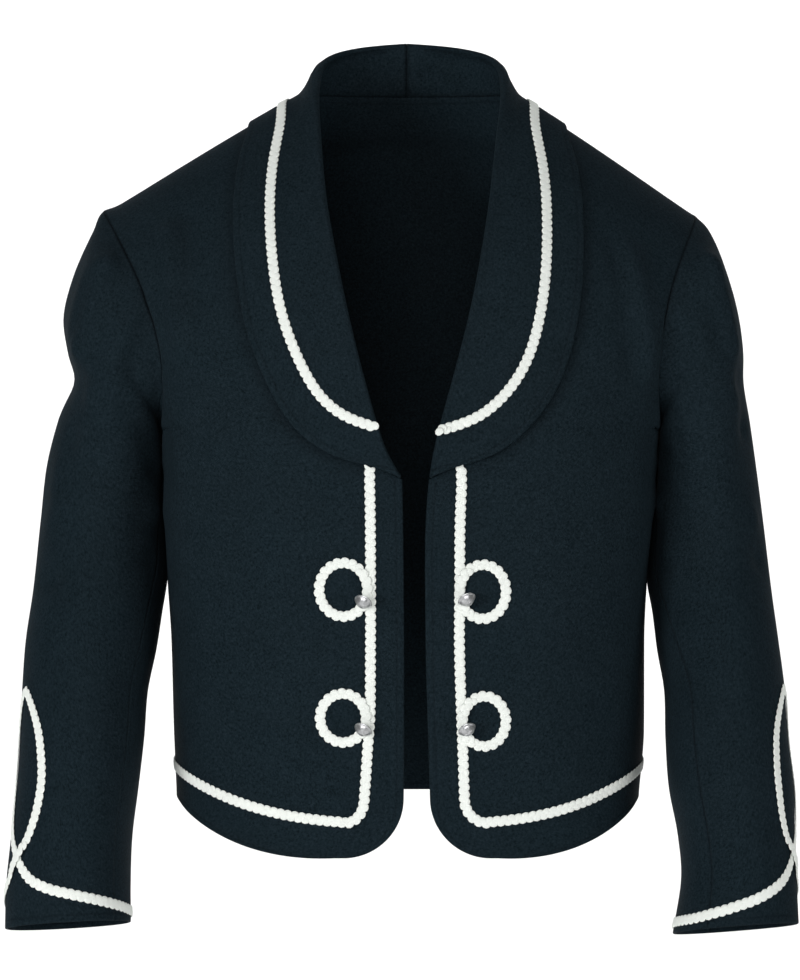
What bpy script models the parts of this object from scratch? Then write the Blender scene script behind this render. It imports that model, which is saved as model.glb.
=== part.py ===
"""Waist-length vaquero jacket in dark wool, worn form with nobody in it.

The front faces -Y, +X is the wearer's left and +Z is up. The origin is where the shoulders carry the
jacket, in the middle of the neck. Each cut piece is a cloth wall of its own, lofted through sections.
"""
import math
from collections import namedtuple

import bmesh
import bpy
import numpy as np
from mathutils import Vector
from mathutils.bvhtree import BVHTree

# Driving sizes in metres
WALL = 0.0020
COLLAR_WALL = 0.0022
SEAM_GAP = 0.0003
CORNER_RADIUS = 0.045
BRAID_WIDTH = 0.0090
BRAID_THICKNESS = 0.0018
BRAID_LIFT = 0.0006
BRAID_STEP = 0.0090
BRAID_INSET = 0.0270
FRONT_BRAID_INSET = 0.0248
BRAID_SECTION = ((-0.5, 0.0), (-0.36, 1.0), (0.36, 1.0), (0.5, 0.0))
BRAID_END_GAP = 0.0002
BRAID_CLEARANCE = 0.0005
CLEAR_SHARES = [k / 8.0 for k in range(9)]

# Rim faces are split towards this direction, so both sides of a seam are split alike
RIM_DIAGONAL = (0.31, 0.53, 0.79)

# Grid sizes of the cloth pieces
CORNER_STEPS = 5
FRONT_COLUMNS = 8
NECK_COLUMNS = 5
ARMHOLE_ROWS = 10
RING_COLUMNS = 2 * ARMHOLE_ROWS
FRONT_SEAM_COLUMN = 7
BACK_SEAM_COLUMN = 14

# The wearer's right is at -X and the left at +X; tables give distances from the middle
SIDES = {"right": -1.0, "left": 1.0}

# Heights of the hem and of the level at the bottom of the armhole
HEM_FRONT_Z = -0.594
HEM_SIDE_Z = -0.553
HEM_BACK_Z = -0.560
PIT_FRONT_Z = -0.275
PIT_SIDE_Z = -0.262
PIT_BACK_Z = -0.258
FRONT_LEVELS = (-0.505, -0.455, -0.405, -0.355, -0.308, -0.300, PIT_FRONT_Z)

# How square the level sections are, and how the hem rises from the front to the side
FRONT_SQUARE = 2.8
BACK_SQUARE = 2.8
TOP_SQUARE = 2.0
HEM_RISE = 2.6
SHOULDER_ROUND = 0.25
BACK_TOP_ROUND = 0.45

# Inner edge of each front: the free edge up to the break, then the neck seam under the collar
Edge = namedtuple("Edge", "z x_right x_left y")
FRONT_EDGE = (
    Edge(-0.594, 0.0035, 0.0185, -0.1215),
    Edge(-0.520, 0.0025, 0.0165, -0.1245),
    Edge(-0.430, 0.0025, 0.0140, -0.1275),
    Edge(-0.360, 0.0030, 0.0135, -0.1290),
    Edge(-0.308, 0.0040, 0.0165, -0.1290),
    Edge(-0.300, 0.0110, 0.0235, -0.1285),
    Edge(-0.282, 0.0225, 0.0265, -0.1280),
    Edge(-0.256, 0.0310, 0.0330, -0.1265),
    Edge(-0.216, 0.0420, 0.0440, -0.1225),
    Edge(-0.170, 0.0535, 0.0560, -0.1135),
    Edge(-0.128, 0.0625, 0.0645, -0.0995),
    Edge(-0.087, 0.0705, 0.0720, -0.0780),
    Edge(-0.045, 0.0770, 0.0785, -0.0510),
    Edge(-0.014, 0.0810, 0.0835, -0.0250),
    Edge(0.002, 0.0825, 0.0850, -0.0040),
    Edge(0.006, 0.0830, 0.0855, 0.0120),
)

# Side seam from the hem to the bottom of the armhole
Side = namedtuple("Side", "z x_right x_left y")
SIDE_SEAM = (
    Side(-0.553, 0.1835, 0.1845, 0.003),
    Side(-0.500, 0.1858, 0.1888, 0.003),
    Side(-0.430, 0.1878, 0.1890, 0.004),
    Side(-0.380, 0.1910, 0.1914, 0.004),
    Side(-0.340, 0.1925, 0.1945, 0.004),
    Side(-0.262, 0.1935, 0.1985, 0.004),
)

# Profile of the middle of the back
CentreBack = namedtuple("CentreBack", "z y")
CENTRE_BACK = (
    CentreBack(-0.560, 0.104),
    CentreBack(-0.500, 0.098),
    CentreBack(-0.420, 0.094),
    CentreBack(-0.340, 0.101),
    CentreBack(-0.260, 0.110),
    CentreBack(-0.180, 0.114),
    CentreBack(-0.100, 0.108),
    CentreBack(-0.040, 0.092),
    CentreBack(0.010, 0.068),
)

# Armhole ring: its top at the shoulder point, its bottom at the side seam, and how far it is scooped
Armhole = namedtuple("Armhole", "top_x top_y top_z pit_x pit_y pit_z half_depth front_drop pinch")
ARMHOLES = {
    "right": Armhole(0.2410, 0.012, -0.089, 0.1935, 0.004, -0.262, 0.078, 0.008, 0.020),
    "left": Armhole(0.2310, 0.012, -0.092, 0.1985, 0.004, -0.262, 0.078, 0.008, 0.016),
}

# Sleeve sections below the armhole: the outer and inner points, the middle in depth, and the depth
Ring = namedtuple("Ring", "x_out z_out x_in z_in y_mid depth")
SLEEVES = {
    "right": (
        Ring(0.2544, -0.1117, 0.1970, -0.2659, 0.010, 0.160),
        Ring(0.2680, -0.1434, 0.1952, -0.2769, 0.012, 0.164),
        Ring(0.2754, -0.1751, 0.1944, -0.2878, 0.015, 0.166),
        Ring(0.2724, -0.2020, 0.1941, -0.2989, 0.017, 0.164),
        Ring(0.2701, -0.2271, 0.1939, -0.3110, 0.018, 0.160),
        Ring(0.2801, -0.2573, 0.1936, -0.3272, 0.018, 0.157),
        Ring(0.2882, -0.2897, 0.1930, -0.3485, 0.015, 0.152),
        Ring(0.2929, -0.3364, 0.1918, -0.3770, 0.006, 0.147),
        Ring(0.2972, -0.3930, 0.1953, -0.4092, -0.012, 0.141),
        Ring(0.3015, -0.4312, 0.1990, -0.4383, -0.026, 0.137),
        Ring(0.3028, -0.4662, 0.2046, -0.4692, -0.039, 0.133),
        Ring(0.3030, -0.5060, 0.2066, -0.5060, -0.053, 0.128),
        Ring(0.3045, -0.5458, 0.2102, -0.5438, -0.065, 0.122),
        Ring(0.3081, -0.5855, 0.2142, -0.5825, -0.076, 0.115),
        Ring(0.3107, -0.6202, 0.2147, -0.6172, -0.085, 0.108),
        Ring(0.3108, -0.6520, 0.2140, -0.6460, -0.092, 0.104),
    ),
    "left": (
        Ring(0.2460, -0.1127, 0.2005, -0.2659, 0.010, 0.160),
        Ring(0.2577, -0.1434, 0.1988, -0.2769, 0.012, 0.164),
        Ring(0.2657, -0.1731, 0.1982, -0.2878, 0.015, 0.166),
        Ring(0.2696, -0.2020, 0.1977, -0.2989, 0.017, 0.164),
        Ring(0.2699, -0.2251, 0.1971, -0.3110, 0.018, 0.160),
        Ring(0.2750, -0.2573, 0.1960, -0.3272, 0.018, 0.157),
        Ring(0.2807, -0.2998, 0.1945, -0.3506, 0.015, 0.152),
        Ring(0.2848, -0.3384, 0.1922, -0.3780, 0.006, 0.147),
        Ring(0.2896, -0.3930, 0.1958, -0.4092, -0.012, 0.141),
        Ring(0.2935, -0.4312, 0.1985, -0.4383, -0.026, 0.137),
        Ring(0.2968, -0.4662, 0.2030, -0.4692, -0.039, 0.133),
        Ring(0.2980, -0.5060, 0.2030, -0.5060, -0.053, 0.128),
        Ring(0.3015, -0.5458, 0.2047, -0.5438, -0.065, 0.122),
        Ring(0.3011, -0.5855, 0.2109, -0.5805, -0.076, 0.115),
        Ring(0.3017, -0.6182, 0.2127, -0.6122, -0.085, 0.108),
        Ring(0.3025, -0.6480, 0.2055, -0.6550, -0.092, 0.106),
    ),
}
RING_SQUARE = 2.15
CUFF_SLANT = 0.17

# Large soft folds: a ridge from one point to another, its width and how far it stands out
Fold = namedtuple("Fold", "x0 y0 z0 x1 y1 z1 width height")
FOLDS = (
    Fold(-0.246, -0.058, -0.125, -0.264, -0.052, -0.215, 0.017, 0.0045),
    Fold(-0.222, -0.066, -0.190, -0.246, -0.058, -0.270, 0.017, 0.0035),
    Fold(-0.262, 0.082, -0.150, -0.250, 0.092, -0.260, 0.018, 0.0045),
    Fold(0.238, -0.058, -0.120, 0.262, -0.054, -0.200, 0.017, 0.0045),
    Fold(0.262, -0.055, -0.225, 0.240, -0.061, -0.300, 0.017, 0.0035),
    Fold(0.262, 0.080, -0.140, 0.246, 0.092, -0.255, 0.018, 0.0045),
    Fold(-0.180, -0.085, -0.110, -0.178, -0.100, -0.200, 0.018, 0.0035),
    Fold(0.176, -0.085, -0.140, 0.190, -0.080, -0.205, 0.018, 0.0035),
    Fold(-0.150, 0.100, -0.120, -0.160, 0.085, -0.300, 0.022, 0.0040),
    Fold(0.150, 0.100, -0.120, 0.160, 0.085, -0.300, 0.022, 0.0040),
)

# Collar sections from the break to the centre back. The seam runs from 0 at the break over 1 at the
# shoulder seam to 2 at the centre back; the roll and the outer edge are points of the section.
Station = namedtuple(
    "Station", "seam roll_x_right roll_x_left roll_y roll_z edge_x_right edge_x_left edge_y edge_z"
)
COLLAR = (
    Station(0.00, 0.0050, 0.0175, -0.1285, -0.3030, 0.0290, 0.0400, -0.131, -0.2935),
    Station(0.08, 0.0170, 0.0210, -0.1285, -0.2820, 0.0560, 0.0640, -0.130, -0.2865),
    Station(0.17, 0.0255, 0.0275, -0.1270, -0.2560, 0.0860, 0.0880, -0.124, -0.2660),
    Station(0.28, 0.0365, 0.0385, -0.1230, -0.2160, 0.1095, 0.1130, -0.115, -0.2260),
    Station(0.40, 0.0475, 0.0500, -0.1140, -0.1700, 0.1250, 0.1305, -0.103, -0.1820),
    Station(0.52, 0.0560, 0.0580, -0.1000, -0.1280, 0.1320, 0.1355, -0.090, -0.1400),
    Station(0.64, 0.0632, 0.0645, -0.0790, -0.0860, 0.1350, 0.1365, -0.070, -0.0980),
    Station(0.76, 0.0680, 0.0700, -0.0490, -0.0390, 0.1345, 0.1355, -0.045, -0.0600),
    Station(0.90, 0.0705, 0.0750, -0.0160, 0.0030, 0.1300, 0.1310, -0.005, -0.0300),
    Station(1.10, 0.0705, 0.0765, 0.0170, 0.0290, 0.1160, 0.1175, 0.046, -0.0265),
    Station(1.40, 0.0560, 0.0600, 0.0460, 0.0430, 0.0860, 0.0870, 0.077, -0.0255),
    Station(1.70, 0.0300, 0.0320, 0.0600, 0.0500, 0.0470, 0.0470, 0.087, -0.0240),
    Station(2.00, 0.0000, 0.0000, 0.0650, 0.0525, 0.0000, 0.0000, 0.088, -0.0230),
)
NECK_BACK = Vector((0.0, 0.068, 0.010))
ROLL_RADIUS_TIP = 0.0024
ROLL_RADIUS_BACK = 0.0040
ROLL_STEPS = 4
ROLL_TOP_COLUMN = 4
FALL_SHARES = (0.12, 0.27, 0.43, 0.58, 0.72, 0.86, 1.0)
FALL_DROP = 0.30
COLLAR_CLEARANCE = 0.0008
CLEAR_PASSES = 4
COLLAR_BRAID_INSET = 0.0275
COLLAR_BRAID_RUN_ON = {"right": 0.0110, "left": 0.0170}
COLLAR_BRAID_MARCH = 4
COLLAR_SEAM_START_Z = -0.300
FRONT_BRAID_TOP_Z = -0.2965

# Braid loops on the fronts: centre and half sizes of the band's middle line
Loop = namedtuple("Loop", "name side x z")
LOOPS = (
    Loop("upper_right", "right", 0.0489, -0.3884),
    Loop("lower_right", "right", 0.0489, -0.4862),
    Loop("upper_left", "left", 0.0573, -0.3892),
    Loop("lower_left", "left", 0.0588, -0.4885),
)
LOOP_HALF_WIDTH = 0.0183
LOOP_HALF_HEIGHT = 0.0206
LOOP_OPEN_ANGLE = math.radians(28)
LOOP_STEPS = 22

# Cuff braid up to the top of its loop, the rest mirrored: its middle line by the angle from the loop's
# axis, towards the front, and the height above the cuff's edge. The axis leans: its degrees from the
# sleeve's outer line are given at the crossing and at the top of the loop.
CuffAxis = namedtuple("CuffAxis", "crossing top")
CUFF_AXES = {"right": CuffAxis(43.0, 31.0), "left": CuffAxis(30.0, 22.0)}
CuffPoint = namedtuple("CuffPoint", "degrees height")
CUFF_BRAID = (
    CuffPoint(170.0, 0.0082),
    CuffPoint(120.0, 0.0085),
    CuffPoint(88.0, 0.0115),
    CuffPoint(62.0, 0.0165),
    CuffPoint(40.0, 0.0232),
    CuffPoint(19.0, 0.0335),
    CuffPoint(0.0, 0.0515),
    CuffPoint(-14.0, 0.0690),
    CuffPoint(-22.0, 0.0910),
    CuffPoint(-25.0, 0.1150),
    CuffPoint(-23.0, 0.1400),
    CuffPoint(-15.0, 0.1660),
    CuffPoint(0.0, 0.1840),
)
CuffRow = namedtuple("CuffRow", "place degrees height")
CUFF_BRAID_STEP = 0.0080
CUFF_BRAID_FINE = 12
CROSSING_HEIGHT = 0.0515
CROSSING_LIFT = 0.0030
CROSSING_FLAT = 0.0085
CROSSING_REACH = 0.0240

# Buttons: a domed head with a raised rim on a shank, drooping down and towards the middle
BUTTON_RADIUS = 0.0076
BUTTON_SHANK = 0.0080
BUTTON_SHANK_RADIUS = 0.0013
BUTTON_TILT = math.radians(32)
BUTTON_DROOP = (0.72, 0.69)
BUTTON_STEPS = 14
BUTTON_BASE_IN = {"right": 0.0122, "left": 0.0098}
BUTTON_BASE_DOWN = 0.0044
ProfilePoint = namedtuple("ProfilePoint", "radius height")
BUTTON_PROFILE = (
    ProfilePoint(0.0000, 0.0122),
    ProfilePoint(0.0028, 0.0117),
    ProfilePoint(0.0050, 0.0103),
    ProfilePoint(0.0061, 0.0091),
    ProfilePoint(0.0066, 0.0096),
    ProfilePoint(0.0074, 0.0094),
    ProfilePoint(BUTTON_RADIUS, 0.0086),
    ProfilePoint(0.0071, BUTTON_SHANK),
    ProfilePoint(BUTTON_SHANK_RADIUS, BUTTON_SHANK - 0.0006),
    ProfilePoint(BUTTON_SHANK_RADIUS, 0.0),
    ProfilePoint(0.0000, 0.0),
)


def read_table(rows, column, key):
    """Value of a table's column on a smooth curve through its rows; the first column is the key."""
    keys = [row[0] for row in rows]
    values = [getattr(row, column) for row in rows]
    key = min(max(key, keys[0]), keys[-1])
    spans = np.diff(keys)
    slopes = np.diff(values) / spans
    tangents = np.empty(len(keys))
    tangents[0] = slopes[0]
    tangents[-1] = slopes[-1]
    for i in range(1, len(keys) - 1):
        before, after = slopes[i - 1], slopes[i]
        level = before * after <= 0.0
        tangents[i] = 0.0 if level else 2.0 * before * after / (before + after)
    i = min(int(np.searchsorted(keys, key, side="right")) - 1, len(spans) - 1)
    t = (key - keys[i]) / spans[i]
    start = (1 + 2 * t) * (1 - t) ** 2 * values[i] + t * (1 - t) ** 2 * spans[i] * tangents[i]
    end = t * t * (3 - 2 * t) * values[i + 1] + t * t * (t - 1) * spans[i] * tangents[i + 1]
    return float(start + end)


def resample(points, count=None, step=None):
    """Points at even distances along a polyline, ends included."""
    points = np.array([tuple(p) for p in points], dtype=float)
    lengths = np.concatenate(([0.0], np.cumsum(np.linalg.norm(np.diff(points, axis=0), axis=1))))
    if count is None:
        count = max(2, round(lengths[-1] / step) + 1)
    wanted = np.linspace(0.0, lengths[-1], count)
    return np.stack([np.interp(wanted, lengths, points[:, axis]) for axis in range(3)], axis=1)


def row_curve(start, end, count, square, roundness, rise):
    """Section from the middle of the body to its side: a squared quarter ring eased to a straight line."""
    points = []
    for step in range(count + 1):
        angle = 0.5 * math.pi * step / count
        across = math.sin(angle) ** (2.0 / square)
        turned = 1.0 - max(math.cos(angle), 0.0) ** (2.0 / square)
        depth = roundness * turned + (1.0 - roundness) * across
        height = across ** rise
        shares = (across, depth, height)
        points.append([a + (b - a) * share for a, b, share in zip(start, end, shares)])
    return np.array(points)


def armhole_point(side, angle):
    """Point of the armhole: angle 0 at the shoulder, a quarter turn at the front, a half turn at the pit."""
    hole = ARMHOLES[side]
    top = np.array((hole.top_x, hole.top_y, hole.top_z))
    pit = np.array((hole.pit_x, hole.pit_y, hole.pit_z))
    sine = math.sin(angle)
    point = 0.5 * (top + pit) + 0.5 * (top - pit) * math.cos(angle)
    point += np.array((0.0, -hole.half_depth, -hole.front_drop)) * sine
    point[0] -= hole.pinch * sine * sine
    point[0] *= SIDES[side]
    return point


def edge_point(side, z):
    x = read_table(FRONT_EDGE, "x_" + side, z)
    return np.array((SIDES[side] * x, read_table(FRONT_EDGE, "y", z), z))


def neck_seam(side):
    """Neck seam of the front, from the level of the armpit up to the shoulder seam."""
    heights = np.linspace(PIT_FRONT_Z, FRONT_EDGE[-1].z, 60)
    return resample([edge_point(side, z) for z in heights], ARMHOLE_ROWS + 1)


def lower_levels():
    """Heights of the front's rows below the armhole, close together round the lower corner."""
    turns = [0.5 * math.pi * k / CORNER_STEPS for k in range(CORNER_STEPS + 1)]
    rises = [CORNER_RADIUS * (1.0 - math.cos(a)) for a in turns]
    insets = [CORNER_RADIUS * (1.0 - math.sin(a)) for a in turns]
    corner = [(HEM_FRONT_Z + rise, inset) for rise, inset in zip(rises, insets)]
    return corner + [(z, 0.0) for z in FRONT_LEVELS]


def level_share(front_z):
    return (front_z - HEM_FRONT_Z) / (PIT_FRONT_Z - HEM_FRONT_Z)


def side_point(side, share):
    z = HEM_SIDE_Z + (PIT_SIDE_Z - HEM_SIDE_Z) * share
    x = read_table(SIDE_SEAM, "x_" + side, z)
    return np.array((SIDES[side] * x, read_table(SIDE_SEAM, "y", z), z))


def back_point(z):
    return np.array((0.0, read_table(CENTRE_BACK, "y", z), z))


def front_grid(side):
    """Rows of a front from the hem to the shoulder seam, each from its inner edge to its outer edge."""
    rows = []
    for z, corner_in in lower_levels():
        start = edge_point(side, z)
        start[0] += SIDES[side] * corner_in
        end = side_point(side, level_share(z))
        rows.append(row_curve(start, end, FRONT_COLUMNS, FRONT_SQUARE, 1.0, HEM_RISE))
    seam = neck_seam(side)
    for k in range(1, ARMHOLE_ROWS + 1):
        share = k / ARMHOLE_ROWS
        end = armhole_point(side, math.pi * (1.0 - share))
        square = FRONT_SQUARE + (TOP_SQUARE - FRONT_SQUARE) * share
        roundness = 1.0 + (SHOULDER_ROUND - 1.0) * share
        rise = HEM_RISE + (1.0 - HEM_RISE) * share
        rows.append(row_curve(seam[k], end, FRONT_COLUMNS, square, roundness, rise))
    return np.array(rows)


def back_neck(side, share):
    """Neck seam of the back, from the shoulder seam at 0 to the centre back at 1."""
    corner = edge_point(side, FRONT_EDGE[-1].z)
    turn = 0.5 * math.pi * share
    blend = np.array((1.0 - math.cos(turn), math.sin(turn), math.sin(turn)))
    return corner + (np.array(NECK_BACK) - corner) * blend


def half_back(side, front):
    """One half of the back, each row from the centre back to the side seam or the armhole."""
    columns = NECK_COLUMNS + FRONT_COLUMNS
    rows = []
    for z, _ in lower_levels():
        share = level_share(z)
        start = back_point(HEM_BACK_Z + (PIT_BACK_Z - HEM_BACK_Z) * share)
        rows.append(row_curve(start, side_point(side, share), columns, BACK_SQUARE, 1.0, HEM_RISE))
    neck = [back_neck(side, 1.0 - c / NECK_COLUMNS) for c in range(NECK_COLUMNS)]
    top = np.array(neck + list(front[-1]))
    for k in range(1, ARMHOLE_ROWS + 1):
        share = k / ARMHOLE_ROWS
        start = back_point(PIT_BACK_Z + (NECK_BACK.z - PIT_BACK_Z) * share)
        end = armhole_point(side, math.pi * (1.0 + share))
        roundness = 1.0 + (BACK_TOP_ROUND - 1.0) * share
        square = BACK_SQUARE + (TOP_SQUARE - BACK_SQUARE) * share
        rise = HEM_RISE + (1.0 - HEM_RISE) * share
        rows.append(row_curve(start, end, columns, square, roundness, rise))
    rows = np.array(rows)
    shift = top - rows[-1]
    for k in range(1, ARMHOLE_ROWS + 1):
        share = k / ARMHOLE_ROWS
        rows[-1 - ARMHOLE_ROWS + k] += shift * share ** 3
    return rows


def back_grid(fronts):
    right = half_back("right", fronts["right"])
    left = half_back("left", fronts["left"])
    return np.concatenate([right[:, :0:-1], left], axis=1)


def squared(angle, square):
    """Cosine and sine of a slightly squared ring."""
    cosine, sine = math.cos(angle), math.sin(angle)
    power = 2.0 / square
    return math.copysign(abs(cosine) ** power, cosine), math.copysign(abs(sine) ** power, sine)


def sleeve_grid(side):
    """Rings of a sleeve from the armhole to the cuff; column 0 is the outer line, the front comes next."""
    angles = [2.0 * math.pi * c / RING_COLUMNS for c in range(RING_COLUMNS)]
    rows = [[armhole_point(side, angle) for angle in angles]]
    table = SLEEVES[side]
    for number, ring in enumerate(table, start=1):
        outer = np.array((ring.x_out, ring.y_mid, ring.z_out))
        inner = np.array((ring.x_in, ring.y_mid, ring.z_in))
        slant = CUFF_SLANT * number / len(table)
        forward = 0.5 * ring.depth * np.array((0.0, -1.0, slant))
        row = []
        for angle in angles:
            cosine, sine = squared(angle, RING_SQUARE)
            point = 0.5 * (outer + inner) + 0.5 * (outer - inner) * cosine + forward * sine
            point[0] *= SIDES[side]
            row.append(point)
        rows.append(row)
    return np.array(rows)


def fold_height(point):
    """How far the folds lift the cloth at a point."""
    total = 0.0
    for fold in FOLDS:
        start = np.array((fold.x0, fold.y0, fold.z0))
        along = np.array((fold.x1, fold.y1, fold.z1)) - start
        share = min(max(np.dot(point - start, along) / np.dot(along, along), 0.0), 1.0)
        distance = np.linalg.norm(point - start - share * along)
        total += fold.height * math.exp(-((distance / fold.width) ** 2))
    return total


def face_triangles(rows, columns, closed):
    """Two triangles for each cell of a grid of points, by row and column."""
    for r in range(rows - 1):
        for c in range(columns if closed else columns - 1):
            d = (c + 1) % columns
            yield (r, c), (r, d), (r + 1, d)
            yield (r, c), (r + 1, d), (r + 1, c)


def own_normals(grid, closed):
    """Outward unit normals at the points of one grid."""
    normals = np.zeros_like(grid)
    middle = grid.mean(axis=1) if closed else grid[:, :1] * 0.0
    outward_sum = 0.0
    for cells in face_triangles(grid.shape[0], grid.shape[1], closed):
        a, b, c = (grid[cell] for cell in cells)
        normal = np.cross(b - a, c - a)
        arm = (a + b + c) / 3.0 - middle[cells[0][0]]
        level = arm if closed else arm * (1.0, 1.0, 0.0)
        outward_sum += float(np.sum(normal * level))
        for cell in cells:
            normals[cell] += normal
    normals *= math.copysign(1.0, outward_sum)
    return normals / np.linalg.norm(normals, axis=2, keepdims=True)


def point_key(point):
    return tuple(np.round(point, 5))


def unit(vector):
    return vector / np.linalg.norm(vector)


def joined_normals(grids):
    """Outward normals of the cloth, shared evenly where the body's pieces and a sleeve meet at a seam."""
    body, sleeves = {}, {}
    for grid, closed in grids.values():
        sums = sleeves if closed else body
        for point, normal in zip(grid.reshape(-1, 3), own_normals(grid, closed).reshape(-1, 3)):
            key = point_key(point)
            sums[key] = sums.get(key, 0.0) + normal
    shared = {key: unit(normal) for key, normal in body.items()}
    for key, normal in sleeves.items():
        shared[key] = unit(unit(normal) + shared.get(key, 0.0))
    return {
        name: np.array([[shared[point_key(point)] for point in row] for row in grid])
        for name, (grid, _) in grids.items()
    }


def draw_in(grid, normals, edges):
    """Moves seam edges of an open grid back by half the seam gap, square to the edge along the cloth."""
    moved = grid.copy()
    for line, inside in edges:
        ahead = np.gradient(grid[line], axis=0)
        away = np.cross(normals[line], ahead)
        away /= np.linalg.norm(away, axis=-1, keepdims=True)
        away *= np.sign(np.sum(away * (grid[inside] - grid[line])))
        moved[line] += 0.5 * SEAM_GAP * away
    return moved


def new_material(name, colour, roughness, metallic):
    material = bpy.data.materials.new(name)
    material.use_nodes = True
    shader = material.node_tree.nodes["Principled BSDF"]
    shader.inputs["Base Color"].default_value = (*colour, 1.0)
    shader.inputs["Roughness"].default_value = roughness
    shader.inputs["Metallic"].default_value = metallic
    material.diffuse_color = (*colour, 1.0)
    return material


def add_object(name, points, faces, material):
    """One closed body from points and faces, with its faces turned outwards."""
    mesh = bpy.data.meshes.new(name)
    mesh.from_pydata([tuple(p) for p in points], [], faces)
    work = bmesh.new()
    work.from_mesh(mesh)
    bmesh.ops.recalc_face_normals(work, faces=work.faces)
    work.to_mesh(mesh)
    work.free()
    mesh.shade_smooth()
    mesh.set_sharp_from_angle(angle=math.radians(40))
    mesh.materials.append(material)
    piece = bpy.data.objects.new(name, mesh)
    jacket.objects.link(piece)
    return piece


def add_wall(name, outer, inner, material):
    """A cloth wall between an outer and an inner grid of points, closed round its edge."""
    rows, columns = outer.shape[:2]
    points = np.concatenate([outer.reshape(-1, 3), inner.reshape(-1, 3)])
    half = rows * columns

    def index(cell):
        return cell[0] * columns + cell[1]

    faces = []
    for cells in face_triangles(rows, columns, False):
        ids = [index(cell) for cell in cells]
        faces.append(ids)
        faces.append([half + i for i in reversed(ids)])
    rim = [(0, c) for c in range(columns)]
    rim += [(r, columns - 1) for r in range(1, rows)]
    rim += [(rows - 1, c) for c in range(columns - 2, -1, -1)]
    rim += [(r, 0) for r in range(rows - 2, 0, -1)]
    for a, b in zip(rim, rim[1:] + rim[:1]):
        i, j = index(a), index(b)
        if np.dot(outer[a] - outer[b], RIM_DIAGONAL) < 0.0:
            faces.append([j, i, half + j])
            faces.append([i, half + i, half + j])
        else:
            faces.append([j, i, half + i])
            faces.append([j, half + i, half + j])
    return add_object(name, points, faces, material)


def surface_of(*grids):
    """Search tree over the outer faces of some grids, all facing out."""
    points = []
    faces = []
    for grid, normals in grids:
        base = len(points)
        columns = grid.shape[1]
        points.extend(Vector(p) for p in grid.reshape(-1, 3))
        for cells in face_triangles(grid.shape[0], columns, False):
            a, b, c = (grid[cell] for cell in cells)
            ids = [base + r * columns + k for r, k in cells]
            facing = np.dot(np.cross(b - a, c - a), normals[cells[0]]) > 0.0
            faces.append(ids if facing else ids[::-1])
    return BVHTree.FromPolygons(points, faces)


def seat(surface, point):
    """Nearest point of a surface, its normal, and the signed distance to it."""
    place, normal, _, _ = surface.find_nearest(Vector(point))
    return place, normal, (Vector(point) - place).dot(normal)


def raise_clear(stations, lifts, surface):
    """Raises the sections of a braid until the band between them clears the cloth."""
    for _ in range(CLEAR_PASSES):
        under = []
        for station, lift in zip(stations, lifts):
            a, b = (spot + up * lift for spot, up in (station[0], station[-1]))
            under.append([a * (1.0 - share) + b * share for share in CLEAR_SHARES])
        wanted = [0.0] * len(stations)
        for i in range(len(stations) - 1):
            lines = list(zip(under[i], under[i + 1]))
            lines += [(under[i][0], under[i + 1][-1]), (under[i][-1], under[i + 1][0])]
            for share in CLEAR_SHARES:
                for a, b in lines:
                    _, _, distance = seat(surface, a * (1.0 - share) + b * share)
                    short = BRAID_CLEARANCE - distance
                    wanted[i] = max(wanted[i], short)
                    wanted[i + 1] = max(wanted[i + 1], short)
        lifts = [lift + more for lift, more in zip(lifts, wanted)]
    return lifts


def add_braid(name, path, surface, lifts=None, limit=None):
    """A crowned band of braid laid on a surface along a path of points near it."""
    seats = [seat(surface, p) for p in path]
    places = [s[0] for s in seats]
    normals = [s[1] for s in seats]
    last = len(path) - 1
    stations = []
    for i, place in enumerate(places):
        normal = sum((normals[max(0, min(last, i + k))] for k in (-1, 0, 1)), Vector()).normalized()
        along = (places[min(i + 1, last)] - places[max(i - 1, 0)]).normalized()
        across = normal.cross(along).normalized()
        station = []
        for share, _ in BRAID_SECTION:
            spot, facing, _ = seat(surface, place + across * (share * BRAID_WIDTH))
            station.append((spot, (facing + normal).normalized()))
        stations.append(station)
    lifts = [BRAID_LIFT] * len(path) if lifts is None else [BRAID_LIFT + lift for lift in lifts]
    points = []
    for station, lift in zip(stations, raise_clear(stations, lifts, surface)):
        for (spot, up), (_, rise) in zip(station, BRAID_SECTION):
            point = spot + up * (lift + rise * BRAID_THICKNESS)
            points.append(point if limit is None else limit(point))
    count = len(BRAID_SECTION)
    faces = []
    for i in range(last):
        for k in range(count):
            m = (k + 1) % count
            a, b = i * count + k, i * count + m
            faces.append([a, b, b + count])
            faces.append([a, b + count, a + count])
    for start in (0, last * count):
        faces.extend([start, start + k, start + k + 1] for k in range(1, count - 1))
    return add_object(name, points, faces, gimp)


def shortened(path, start, end):
    """A path with its ends drawn back by given lengths."""
    first = path[0] + unit(path[1] - path[0]) * start
    last = path[-1] + unit(path[-2] - path[-1]) * end
    return np.vstack([first, path[1:-1], last])


def hem_line(grid):
    """Line of a body piece that runs one braid inset above its hem."""
    rises = [z - HEM_FRONT_Z for z, _ in lower_levels()]
    row = int(np.searchsorted(rises, BRAID_INSET)) - 1
    share = (BRAID_INSET - rises[row]) / (rises[row + 1] - rises[row])
    return grid[row] * (1.0 - share) + grid[row + 1] * share


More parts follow.
